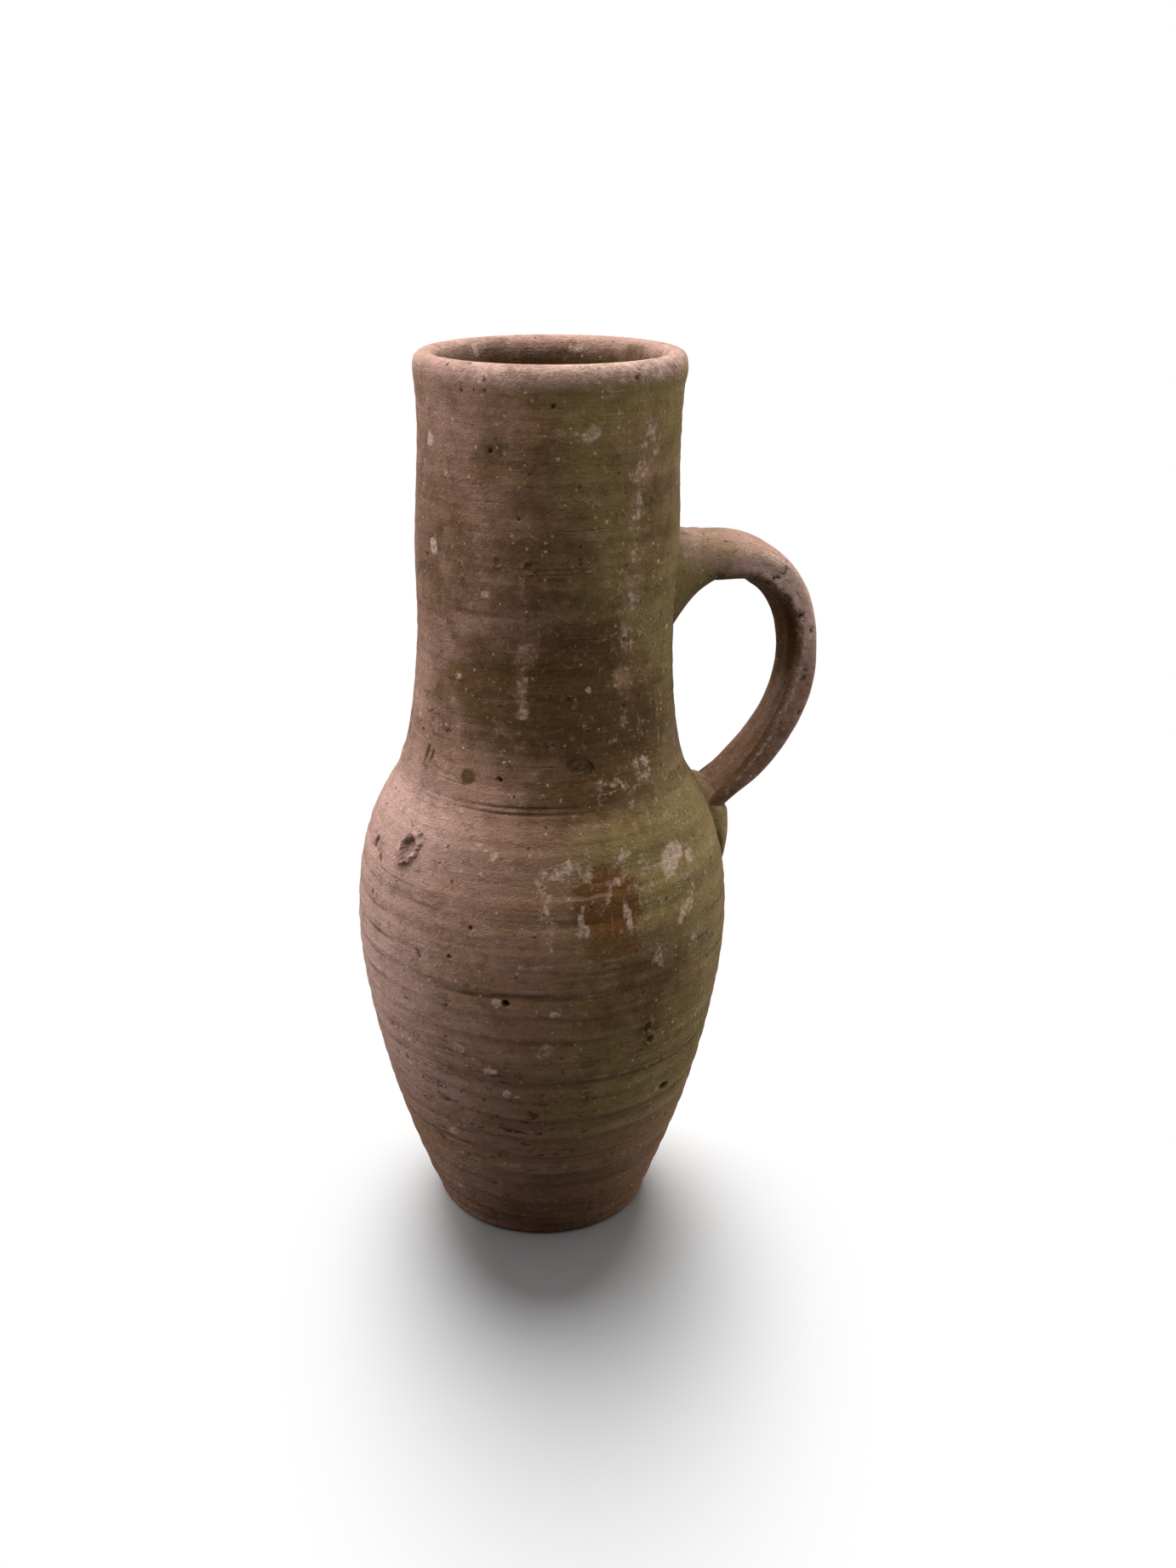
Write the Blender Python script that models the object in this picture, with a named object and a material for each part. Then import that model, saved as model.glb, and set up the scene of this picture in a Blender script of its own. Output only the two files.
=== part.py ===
"""A wheel-thrown earthenware water jug with one strap handle.

Metres, +Z up. The origin is the centre of the flat foot, and the handle stands out along +X.
The jug is six pieces of fired clay: the thrown body, the thrown neck, the ring of slip that lutes
them together, the pulled strap handle, and the wad of clay at each end of the handle.
"""

import math

import bmesh
import bpy
from mathutils import Vector

# The gap left between pieces that touch
CLEARANCE = 0.0003

# Thrown body: heights from the foot, radii of the outside
BODY_HEIGHT = 0.185
FOOT_RADIUS = 0.0420
FOOT_EDGE = 0.0030
FLANK_HEIGHT = 0.066
FLANK_RADIUS = 0.0631
BELLY_HEIGHT = 0.128
BELLY_RADIUS = 0.0715
SHOULDER_DROP = 0.016
SHOULDER_RADIUS = 0.0643
BODY_WALL = 0.0080
FLOOR_THICKNESS = 0.0100
FLOOR_FILLET = 0.0120

# Joint between body and neck: a funnel-shaped seat filled with slip
JOINT_RADIUS = 0.0547
JOINT_FALL = 0.0030
SLIP_HEIGHT = 0.0024
SLIP_RECESS = 0.0004

# Thrown neck: heights from the joint or below the rim, radii of the outside
NECK_HEIGHT = 0.155
FLARE_RISE = 0.019
FLARE_RADIUS = 0.0501
WAIST_RISE = 0.053
WAIST_RADIUS = 0.0472
SWELL_RISE = 0.087
SWELL_RADIUS = 0.0479
THROAT_DROP = 0.022
THROAT_RADIUS = 0.0468
RIM_RADIUS = 0.0479
MOUTH_RADIUS = 0.0402
NECK_WALL = 0.0072
NECK_LEAN = 0.0030

# Strap handle: its middle line, then its width and thickness from the neck to the foot
HANDLE_DROP = 0.0755
HANDLE_STANDOFF = 0.0508
HANDLE_BOW_DROP = 0.0410
HANDLE_FOOT_DROP = 0.0185
HANDLE_FOOT_SLOPE = math.radians(44)
CROWN_PULL = 0.0255
BOW_PULL = 0.0270
FOOT_PULL = 0.0220
ROOT_WIDTH = 0.0300
GRIP_WIDTH = 0.0300
TAIL_WIDTH = 0.0320
ROOT_THICKNESS = 0.0175
GRIP_THICKNESS = 0.0092
TAIL_THICKNESS = 0.0070
GROOVE_DEPTH = 0.0012
SECTION_SQUARE = 0.7

# Wad that joins the strap to the neck: how far it stands out and how wide it spreads on the neck
UPPER_WAD_LENGTH = 0.0135
UPPER_WAD_RISE = 0.0060
UPPER_WAD_FALL = 0.0180
UPPER_WAD_SPREAD = 0.0050

# Wad under the strap's foot: a pad smeared down over the shoulder
LOWER_WAD_RISE = 0.0110
LOWER_WAD_FALL = 0.0300
LOWER_WAD_WIDTH = 0.0300
LOWER_WAD_THICKNESS = 0.0060
LOWER_WAD_TAPER = 0.65

# How finely curves are divided
TURN_STEPS = 48
OUTLINE_STEP = 0.0090
ROUND_STEPS = 6
SECTION_POINTS = 20
PATH_STEPS = 14
WAD_STEPS = 7
MERGE_DISTANCE = 0.000001
SHARP_ANGLE = math.radians(40)

# Fired clay as it looks on each piece: colour, roughness
CLAY = {
    "body": ((0.235, 0.150, 0.115), 0.86),
    "neck": ((0.215, 0.150, 0.110), 0.86),
    "neck_slip_ring": ((0.150, 0.105, 0.078), 0.90),
    "handle": ((0.250, 0.170, 0.130), 0.84),
    "upper_wad": ((0.230, 0.160, 0.120), 0.86),
    "lower_wad": ((0.225, 0.145, 0.110), 0.86),
}

RIM_HEIGHT = BODY_HEIGHT + NECK_HEIGHT
RIM_ROUND = (RIM_RADIUS - MOUTH_RADIUS) / 2


def clear_scene():
    for item in list(bpy.data.objects):
        bpy.data.objects.remove(item, do_unlink=True)


def clay_material(name):
    """The clay of one piece, with its colour and roughness."""
    colour, roughness = CLAY[name]
    material = bpy.data.materials.new(f"{name}_clay")
    material.use_nodes = True
    shader = material.node_tree.nodes["Principled BSDF"]
    shader.inputs["Base Color"].default_value = (*colour, 1.0)
    shader.inputs["Roughness"].default_value = roughness
    shader.inputs["Metallic"].default_value = 0.0
    material.diffuse_color = (*colour, 1.0)
    return material


def finish_piece(bm, name):
    """Turn a bmesh into a named object with outward faces and smooth shading."""
    bmesh.ops.remove_doubles(bm, verts=bm.verts, dist=MERGE_DISTANCE)
    bmesh.ops.recalc_face_normals(bm, faces=bm.faces)
    mesh = bpy.data.meshes.new(name)
    bm.to_mesh(mesh)
    bm.free()
    mesh.shade_smooth()
    mesh.set_sharp_from_angle(angle=SHARP_ANGLE)
    piece = bpy.data.objects.new(name, mesh)
    bpy.context.collection.objects.link(piece)
    if name in CLAY:
        mesh.materials.append(clay_material(name))
    return piece


def make_cutter(piece):
    piece.hide_render = True
    piece.display_type = "WIRE"
    return piece


def add_boolean(piece, cutter, operation):
    modifier = piece.modifiers.new(f"{operation.lower()}_{cutter.name}", "BOOLEAN")
    modifier.solver = "EXACT"
    modifier.operation = operation
    modifier.object = cutter


class Outline:
    """A smooth curve of radius against height through a few stations."""

    def __init__(self, stations):
        self.stations = stations
        chords = [
            (b[1] - a[1]) / (b[0] - a[0]) for a, b in zip(stations, stations[1:])
        ]
        inner = [(a + b) / 2 for a, b in zip(chords, chords[1:])]
        first = 1.5 * chords[0] - 0.5 * inner[0]
        last = 1.5 * chords[-1] - 0.5 * inner[-1]
        self.slopes = [first, *inner, last]

    def span(self, height):
        for index, upper in enumerate(self.stations[1:]):
            if height <= upper[0]:
                return index
        return len(self.stations) - 2

    def radius(self, height):
        index = self.span(height)
        low, high = self.stations[index], self.stations[index + 1]
        length = high[0] - low[0]
        t = (height - low[0]) / length
        keep = 2 * t**3 - 3 * t**2 + 1
        take = 3 * t**2 - 2 * t**3
        lean_low = (t**3 - 2 * t**2 + t) * length * self.slopes[index]
        lean_high = (t**3 - t**2) * length * self.slopes[index + 1]
        return keep * low[1] + take * high[1] + lean_low + lean_high

    def slope(self, height):
        step = 1e-5
        return (self.radius(height + step) - self.radius(height - step)) / (2 * step)

    def offset(self, height, distance):
        """Radius of the wall moved out by a distance measured square to it."""
        return self.radius(height) + distance * math.hypot(1.0, self.slope(height))


BODY_OUTLINE = Outline(
    [
        (0.0, FOOT_RADIUS),
        (FLANK_HEIGHT, FLANK_RADIUS),
        (BELLY_HEIGHT, BELLY_RADIUS),
        (BODY_HEIGHT - SHOULDER_DROP, SHOULDER_RADIUS),
        (BODY_HEIGHT, JOINT_RADIUS),
    ]
)
NECK_OUTLINE = Outline(
    [
        (BODY_HEIGHT, JOINT_RADIUS),
        (BODY_HEIGHT + FLARE_RISE, FLARE_RADIUS),
        (BODY_HEIGHT + WAIST_RISE, WAIST_RADIUS),
        (BODY_HEIGHT + SWELL_RISE, SWELL_RADIUS),
        (RIM_HEIGHT - THROAT_DROP, THROAT_RADIUS),
        (RIM_HEIGHT - RIM_ROUND, RIM_RADIUS),
    ]
)


def outline_at(height):
    return BODY_OUTLINE if height <= BODY_HEIGHT else NECK_OUTLINE


def lean(height):
    """Sideways drift of the neck's axis: it leans a little towards the handle."""
    return NECK_LEAN * max(0.0, height - BODY_HEIGHT) / NECK_HEIGHT


def steps_between(low, high):
    """Evenly spaced heights from low to high, both included."""
    count = max(2, math.ceil((high - low) / OUTLINE_STEP))
    return [low + (high - low) * i / count for i in range(count + 1)]


def arc(centre, radius, start, end):
    """Points of a round corner in the turning plane, by angle from the outward radius."""
    points = []
    for i in range(ROUND_STEPS + 1):
        angle = start + (end - start) * i / ROUND_STEPS
        points.append(
            (centre[0] + radius * math.cos(angle), centre[1] + radius * math.sin(angle))
        )
    return points


def turn(points, closed):
    """Spin an outline of (radius, height) points around the pot's axis, and cap an open one."""
    bm = bmesh.new()
    verts = [bm.verts.new((radius, 0.0, height)) for radius, height in points]
    edges = [bm.edges.new(pair) for pair in zip(verts, verts[1:])]
    if closed:
        edges.append(bm.edges.new((verts[-1], verts[0])))
    bmesh.ops.spin(
        bm,
        geom=verts + edges,
        cent=(0.0, 0.0, 0.0),
        axis=(0.0, 0.0, 1.0),
        angle=2 * math.pi,
        steps=TURN_STEPS,
        use_merge=True,
    )
    bmesh.ops.remove_doubles(bm, verts=bm.verts, dist=MERGE_DISTANCE)
    if not closed:
        bmesh.ops.holes_fill(bm, edges=bm.edges, sides=0)
    for vert in bm.verts:
        vert.co.x += lean(vert.co.z)
    return bm


def foot_corner():
    """The rounded lower edge of the body, from the flat foot up to the flank."""
    reach = BODY_OUTLINE.radius(FOOT_EDGE)
    return arc((reach - FOOT_EDGE, FOOT_EDGE), FOOT_EDGE, -math.pi / 2, 0.0)


def build_body():
    """The thrown pot: flat foot, belly and shoulder, with a funnel-shaped seat for the neck."""
    seat = SLIP_HEIGHT / 2 + CLEARANCE
    lip = BODY_HEIGHT - seat
    inner_lip = lip - JOINT_FALL
    floor_top = FLOOR_THICKNESS + FLOOR_FILLET
    outside = [
        (BODY_OUTLINE.radius(z), z) for z in steps_between(FOOT_EDGE, lip)[1:]
    ]
    inside = [
        (BODY_OUTLINE.offset(z, -BODY_WALL), z)
        for z in steps_between(floor_top, inner_lip)
    ]
    corner = arc(
        (inside[0][0] - FLOOR_FILLET, floor_top), FLOOR_FILLET, 0.0, -math.pi / 2
    )
    outline = [*foot_corner(), *outside, *reversed(inside), *corner[1:]]
    return finish_piece(turn(outline, closed=False), "body")


def build_neck():
    """The thrown collar with a full round rim."""
    seat = SLIP_HEIGHT / 2 + CLEARANCE
    foot = BODY_HEIGHT + seat
    inner_foot = foot - JOINT_FALL
    round_height = RIM_HEIGHT - RIM_ROUND
    outside = [(NECK_OUTLINE.radius(z), z) for z in steps_between(foot, round_height)]
    middle = (RIM_RADIUS + MOUTH_RADIUS) / 2
    rim = arc((middle, round_height), RIM_ROUND, 0.0, math.pi)
    throat = RIM_HEIGHT - THROAT_DROP
    inside = [
        (NECK_OUTLINE.offset(z, -NECK_WALL), z)
        for z in steps_between(BODY_HEIGHT, throat)
    ]
    inner_edge = (BODY_OUTLINE.offset(inner_foot, -BODY_WALL), inner_foot)
    outline = [*outside, *rim[1:], *reversed(inside), inner_edge]
    return finish_piece(turn(outline, closed=True), "neck")


def build_slip_ring():
    """The band of slip in the funnel-shaped seat, a little sunk below the outside."""
    half = SLIP_HEIGHT / 2
    low, high = BODY_HEIGHT - half, BODY_HEIGHT + half
    inner_low, inner_high = low - JOINT_FALL, high - JOINT_FALL
    outline = [
        (BODY_OUTLINE.radius(low) - SLIP_RECESS, low),
        (NECK_OUTLINE.radius(high) - SLIP_RECESS, high),
        (BODY_OUTLINE.offset(inner_high, -BODY_WALL), inner_high),
        (BODY_OUTLINE.offset(inner_low, -BODY_WALL), inner_low),
    ]
    return finish_piece(turn(outline, closed=True), "neck_slip_ring")


def pot_skin(name, distance):
    """A solid of the pot's outside moved out by a distance, for fitting the handle's wads to it."""
    joint = BODY_HEIGHT
    low = [
        (BODY_OUTLINE.offset(z, distance), z) for z in steps_between(FOOT_EDGE, joint)
    ]
    high = [
        (NECK_OUTLINE.offset(z, distance), z)
        for z in steps_between(joint, RIM_HEIGHT - RIM_ROUND)
    ]
    return make_cutter(finish_piece(turn([*low[:-1], *high], closed=False), name))


def bezier(points, t):
    """A point and its direction on a cubic curve in the handle's (x, z) plane."""
    a, b, c, d = points
    s = 1 - t
    place = a * s**3 + b * 3 * s * s * t + c * 3 * s * t * t + d * t**3
    heading = (b - a) * s * s + (c - b) * 2 * s * t + (d - c) * t * t
    return place, heading.normalized()


HANDLE_ROOT_HEIGHT = RIM_HEIGHT - HANDLE_DROP
HANDLE_FOOT_HEIGHT = BODY_HEIGHT - HANDLE_FOOT_DROP


def wall_reach(height):
    """How far the pot's outside reaches towards the handle at a height."""
    return outline_at(height).radius(height) + lean(height)


def handle_path():
    """Middle line of the strap, from the face of the upper wad to inside the lower one."""
    start = Vector((wall_reach(HANDLE_ROOT_HEIGHT) + UPPER_WAD_LENGTH, HANDLE_ROOT_HEIGHT))
    bow_height = HANDLE_ROOT_HEIGHT - HANDLE_BOW_DROP
    bow = Vector((wall_reach(bow_height) + HANDLE_STANDOFF, bow_height))
    foot = Vector((wall_reach(HANDLE_FOOT_HEIGHT), HANDLE_FOOT_HEIGHT))
    back = Vector((math.cos(HANDLE_FOOT_SLOPE), math.sin(HANDLE_FOOT_SLOPE)))
    crown = Vector((CROWN_PULL, 0.0))
    fall = Vector((0.0, BOW_PULL))
    upper = (start, start + crown, bow + fall, bow)
    lower = (bow, bow - fall, foot + back * FOOT_PULL, foot)
    path = [bezier(upper, i / PATH_STEPS) for i in range(PATH_STEPS)]
    return path + [bezier(lower, i / PATH_STEPS) for i in range(PATH_STEPS + 1)]


def ease(t):
    return t * t * (3 - 2 * t)


def between(values, t):
    """Three sizes along the strap: at its root, at the grip half way, and at its foot."""
    root, grip, foot = values
    if t < 0.5:
        return root + (grip - root) * ease(2 * t)
    return grip + (foot - grip) * ease(2 * t - 1)


def strap_section(width, outer, inner, groove):
    """An oval strap section as (across, outward) points, with two grooves along its inner face."""
    points = []
    for i in range(SECTION_POINTS):
        angle = 2 * math.pi * i / SECTION_POINTS
        across = math.copysign(abs(math.cos(angle)) ** SECTION_SQUARE, math.cos(angle))
        rise = math.copysign(abs(math.sin(angle)) ** SECTION_SQUARE, math.sin(angle))
        height = rise * (outer if rise > 0 else inner)
        if rise < 0:
            height += groove * math.sin(math.pi * across) ** 2
        points.append((across * width / 2, height))
    return points


def loft(sections):
    """Skin a run of closed loops of points, with a flat cap at each end."""
    bm = bmesh.new()
    loops = [[bm.verts.new(point) for point in section] for section in sections]
    for low, high in zip(loops, loops[1:]):
        for i, corner in enumerate(low):
            after = (i + 1) % len(low)
            bm.faces.new((corner, low[after], high[after], high[i]))
    bm.faces.new(loops[0])
    bm.faces.new(reversed(loops[-1]))
    return bm


def placed(section, place, heading):
    """Stand a section square to the middle line at one of its points."""
    outward = Vector((-heading.y, heading.x))
    points = []
    for across, height in section:
        spot = place + outward * height
        points.append((spot.x, across, spot.y))
    return points


def build_handle():
    """The pulled strap, thick at its root and thin at its foot."""
    sections = []
    path = handle_path()
    for i, (place, heading) in enumerate(path):
        t = i / (len(path) - 1)
        width = between((ROOT_WIDTH, GRIP_WIDTH, TAIL_WIDTH), t)
        half = between((ROOT_THICKNESS, GRIP_THICKNESS, TAIL_THICKNESS), t) / 2
        groove = between((0.0, GROOVE_DEPTH, GROOVE_DEPTH), t)
        sections.append(placed(strap_section(width, half, half, groove), place, heading))
    return finish_piece(loft(sections), "handle")


def build_upper_wad():
    """The flared wad between neck and strap, widest where it is smeared onto the neck."""
    face = wall_reach(HANDLE_ROOT_HEIGHT) + UPPER_WAD_LENGTH - CLEARANCE
    sections = []
    for i in range(WAD_STEPS + 1):
        depth = 2 * UPPER_WAD_LENGTH * i / WAD_STEPS
        flare = min(1.0, depth / UPPER_WAD_LENGTH)
        spread = 1 - math.sqrt(max(0.0, 1 - flare * flare))
        section = strap_section(
            ROOT_WIDTH + 2 * UPPER_WAD_SPREAD * spread,
            ROOT_THICKNESS / 2 + UPPER_WAD_RISE * spread,
            ROOT_THICKNESS / 2 + UPPER_WAD_FALL * spread,
            0.0,
        )
        place = Vector((face - depth, HANDLE_ROOT_HEIGHT))
        sections.append(placed(section, place, Vector((1.0, 0.0))))
    return finish_piece(loft(sections), "upper_wad")


def lower_wad_shape(name, grow):
    """A pad with a rounded back that follows the shoulder, grown on every side by a distance."""
    top = HANDLE_FOOT_HEIGHT + LOWER_WAD_RISE + grow
    bottom = HANDLE_FOOT_HEIGHT - LOWER_WAD_FALL - grow
    sections = []
    for i in range(1, 2 * WAD_STEPS):
        t = i / (2 * WAD_STEPS)
        height = top + (bottom - top) * (1 - math.cos(math.pi * t)) / 2
        fullness = math.sqrt(math.sin(math.pi * t))
        half = (LOWER_WAD_WIDTH / 2 + grow) * fullness
        thick = LOWER_WAD_THICKNESS * fullness * (1 - LOWER_WAD_TAPER * t) + grow
        reach = wall_reach(height)
        section = []
        for k in range(SECTION_POINTS):
            angle = 2 * math.pi * k / SECTION_POINTS
            across = half * math.cos(angle)
            back = reach - math.sqrt(reach * reach - across * across)
            out = thick * math.sin(angle)
            section.append((reach - back + out, across, height))
        sections.append(section)
    return finish_piece(loft(sections), name)


def main():
    clear_scene()
    build_body()
    build_neck()
    build_slip_ring()
    touching_skin = pot_skin("touching_skin", CLEARANCE)
    strap_skin = pot_skin("strap_skin", 2 * CLEARANCE)
    upper_wad = build_upper_wad()
    add_boolean(upper_wad, touching_skin, "DIFFERENCE")
    lower_wad = lower_wad_shape("lower_wad", 0.0)
    add_boolean(lower_wad, touching_skin, "DIFFERENCE")
    wad_room = make_cutter(lower_wad_shape("wad_room", CLEARANCE))
    handle = build_handle()
    add_boolean(handle, strap_skin, "DIFFERENCE")
    add_boolean(handle, wad_room, "DIFFERENCE")


main()
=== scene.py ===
"""Dresses a wheel-thrown earthenware jug: finely turned walls, a pulled strap handle and weathered clay.

Metres, +Z up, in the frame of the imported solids: the foot's centre is the origin and the handle stands
out along +X. Azimuths are degrees round the pot from +X, heights are from the foot.
"""

import math
from collections import namedtuple

import bmesh
import bpy
import numpy as np
from bpy.props import FloatProperty, FloatVectorProperty, IntProperty, PointerProperty
from bpy.types import Operator, Panel, PropertyGroup
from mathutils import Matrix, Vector, noise


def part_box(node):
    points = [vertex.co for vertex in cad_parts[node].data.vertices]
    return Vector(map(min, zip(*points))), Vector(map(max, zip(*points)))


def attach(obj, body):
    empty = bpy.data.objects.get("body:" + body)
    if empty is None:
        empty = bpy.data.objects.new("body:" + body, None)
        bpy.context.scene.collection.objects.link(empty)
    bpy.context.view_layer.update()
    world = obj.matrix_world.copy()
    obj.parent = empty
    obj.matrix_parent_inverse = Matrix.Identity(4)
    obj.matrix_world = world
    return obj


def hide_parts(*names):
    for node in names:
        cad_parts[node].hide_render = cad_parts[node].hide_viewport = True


bl_info = {
    "name": "Earthenware Jug",
    "version": (1, 0, 0),
    "blender": (4, 5, 0),
    "location": "View3D > Sidebar > Jug",
    "description": "Models the fired clay pieces of a wheel-thrown jug over its solids and sets its stage",
    "category": "Object",
}

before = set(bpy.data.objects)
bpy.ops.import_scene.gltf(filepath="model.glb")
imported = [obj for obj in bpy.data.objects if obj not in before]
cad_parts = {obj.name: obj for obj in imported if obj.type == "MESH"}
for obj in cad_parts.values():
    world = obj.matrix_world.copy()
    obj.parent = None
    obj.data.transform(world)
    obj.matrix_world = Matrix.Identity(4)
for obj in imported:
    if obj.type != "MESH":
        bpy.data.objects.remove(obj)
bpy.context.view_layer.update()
MM = 0.001

# How finely the pieces are divided, and how many millimetres wider than a mark the finer wall under it is
MERGE_DISTANCE = 0.00001
CORNER_ANGLE = math.radians(50)
SMOOTH_ANGLE = math.radians(45)
STRAP_AROUND = 128
STRAP_ALONG = 220
WAD_ALONG = 70
PAD_ROWS = 72
MARK_CUTS = 2
MARK_ROOM = 3.0

# Cycles of noise between the clouds of one seed and the next
SEED_STEP = 7.3

# Masks painted on the clay, read by its material; the soot, wear and chalk masks also carry painted shade and
# painted highlight
MASKS = ("grimy", "olive", "soot", "rust", "chalk", "worn", "scuffed", "torn", "hollow")


def smoothstep(low, high, value):
    t = np.clip((value - low) / (high - low), 0.0, 1.0)
    return t * t * (3 - 2 * t)


def bell(value, centre, half_width):
    """A soft hump of height 1 that falls to nothing a half width from its centre."""
    return 1 - smoothstep(0.0, half_width, np.abs(value - centre))


def wrap_degrees(angle):
    return (angle + 180) % 360 - 180


def bell_round(azimuth, centre, spread):
    """A soft hump round the pot, about an azimuth."""
    return bell(wrap_degrees(azimuth - centre), 0.0, spread)


def strengthen(masks, name, *values):
    """Raise a mask to the strongest of its own and the given values."""
    for value in values:
        masks[name] = np.maximum(masks[name], value)


# The pot's axis and outline, read from the solids

BODY_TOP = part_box("body")[1].z
NECK_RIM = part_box("neck")[1].z
RING_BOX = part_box("neck_slip_ring")


def rim_shift():
    """How far the rim's centre stands off the pot's axis, towards the handle."""
    tops = [v.co.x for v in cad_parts["neck"].data.vertices if v.co.z > NECK_RIM - MERGE_DISTANCE]
    return (max(tops) + min(tops)) / 2


RIM_SHIFT = rim_shift()
JOINT_HEIGHT = (BODY_TOP + RING_BOX[1].z) / 2

# The pot's profile starts above the foot's edge and is read at these steps, outside and inside
FOOT_EDGE = 0.004
PROFILE_STEP = MM
PROFILE_INNER_STEP = 10 * MM


def lean(height):
    """Sideways drift of the neck's axis at a height."""
    return RIM_SHIFT * np.clip(height - JOINT_HEIGHT, 0.0, None) / (NECK_RIM - JOINT_HEIGHT)


def half_section(node):
    """Points (radius, height) of a turned node's section, up its outside first."""
    bm = bmesh.new()
    bm.from_mesh(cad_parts[node].data)
    bmesh.ops.remove_doubles(bm, verts=bm.verts, dist=MERGE_DISTANCE)
    back = {v for v in bm.verts if abs(v.co.y) < MERGE_DISTANCE and v.co.x < 0}
    links = {v: [e.other_vert(v) for e in v.link_edges if e.other_vert(v) in back] for v in back}
    ends = [v for v in back if len(links[v]) == 1]
    here = min(ends or back, key=lambda v: v.co.z)
    after = min(links[here], key=lambda v: v.co.x)
    walk = [here]
    while after is not None:
        walk.append(after)
        rest = [v for v in links[after] if v not in walk]
        after = rest[0] if rest else None
    points = [(float(lean(v.co.z)) - v.co.x, v.co.z) for v in walk]
    bm.free()
    return points


def smooth_run(points, spacing):
    """Evenly spaced points on a smooth curve through a run of points."""
    points = np.array(points)
    chords = np.linalg.norm(np.diff(points, axis=0), axis=1)
    knots = np.concatenate(([0.0], np.cumsum(chords)))
    fine = np.linspace(0.0, knots[-1], max(1, round(knots[-1] / spacing)) + 1)
    if len(points) < 3:
        return np.column_stack([np.interp(fine, knots, points[:, k]) for k in (0, 1)])
    slopes = np.gradient(points, knots, axis=0, edge_order=2)
    index = np.clip(np.searchsorted(knots, fine, side="right") - 1, 0, len(chords) - 1)
    length = chords[index][:, None]
    t = (fine - knots[index])[:, None] / length
    keep = 2 * t**3 - 3 * t**2 + 1
    ease_in = (t**3 - 2 * t**2 + t) * length
    ease_out = (t**3 - t**2) * length
    return (
        keep * points[index]
        + (1 - keep) * points[index + 1]
        + ease_in * slopes[index]
        + ease_out * slopes[index + 1]
    )


def runs_between_corners(points):
    """Split an outline at its sharp corners."""
    runs = [[points[0]]]
    for before, here, after in zip(points, points[1:], points[2:]):
        runs[-1].append(here)
        arriving = Vector(here) - Vector(before)
        leaving = Vector(after) - Vector(here)
        if arriving.angle(leaving) > CORNER_ANGLE:
            runs.append([here])
    runs[-1].append(points[-1])
    return runs


def top_index(outline):
    return max(range(len(outline)), key=lambda i: outline[i][1])


def fine_outline(points, outer_step, inner_step):
    """A smooth outline with small steps on the outside and longer ones inside the pot."""
    top = top_index(points)
    fine = []
    for part, step in ((points[: top + 1], outer_step), (points[top:], inner_step)):
        for run in runs_between_corners(part):
            fine.extend(tuple(p) for p in smooth_run(run, step)[:-1])
    return [*fine, points[-1]]


def neck_section():
    """The neck's section, starting at the outer corner of its lower edge."""
    section = half_section("neck")
    return [*section[1:], section[0]]


def pot_profile():
    """Heights and radii up the outside of body and neck."""
    above_foot = [p for p in half_section("body") if p[1] > FOOT_EDGE]
    body = fine_outline(above_foot, PROFILE_STEP, PROFILE_INNER_STEP)
    neck = fine_outline(neck_section(), PROFILE_STEP, PROFILE_INNER_STEP)
    outer = []
    for outline in (body, neck):
        outer.extend(outline[: top_index(outline) + 1])
    radii, heights = np.array(outer).T
    return heights, radii


POT_HEIGHTS, POT_RADII = pot_profile()


def pot_radius(heights):
    """Outside radius of body and neck at each height."""
    return np.interp(heights, POT_HEIGHTS, POT_RADII)


def squircle(angle, squareness):
    """Point of a rounded square of half side 1, at an angle round its middle."""
    across, rise = np.cos(angle), np.sin(angle)
    reach = (np.abs(across) ** squareness + np.abs(rise) ** squareness) ** (-1 / squareness)
    return across * reach, rise * reach


# Starting shapes


def begin_piece(name):
    piece = bpy.context.object
    piece.name = name
    piece.data.name = name
    bpy.ops.object.mode_set(mode="EDIT")
    bpy.ops.mesh.select_all(action="SELECT")
    return piece


def close_piece():
    """Merge doubles, face the walls outwards and leave edit mode."""
    bpy.ops.mesh.select_all(action="SELECT")
    bpy.ops.mesh.remove_doubles(threshold=MERGE_DISTANCE)
    bpy.ops.mesh.normals_make_consistent(inside=False)
    bpy.ops.object.mode_set(mode="OBJECT")


def turn_piece(name, outline, closed, segments):
    """Draw an outline from a single point and turn it round the pot's axis."""
    bpy.ops.object.select_all(action="DESELECT")
    bpy.ops.mesh.primitive_plane_add(size=MM, location=(0, 0, 0))
    piece = begin_piece(name)
    bpy.ops.mesh.merge(type="CENTER")
    radius, height = outline[0]
    bpy.ops.transform.translate(value=(radius, 0, height))
    corners = [*outline, outline[0]] if closed else outline
    for before, after in zip(corners, corners[1:]):
        step = (after[0] - before[0], 0, after[1] - before[1])
        bpy.ops.mesh.extrude_vertices_move(TRANSFORM_OT_translate={"value": step})
    bpy.ops.object.mode_set(mode="OBJECT")
    wheel = piece.modifiers.new("wheel", "SCREW")
    wheel.axis = "Z"
    wheel.angle = 2 * math.pi
    wheel.steps = segments
    wheel.render_steps = segments
    bpy.ops.object.modifier_apply(modifier=wheel.name)
    bpy.ops.object.mode_set(mode="EDIT")
    close_piece()
    return piece


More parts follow.
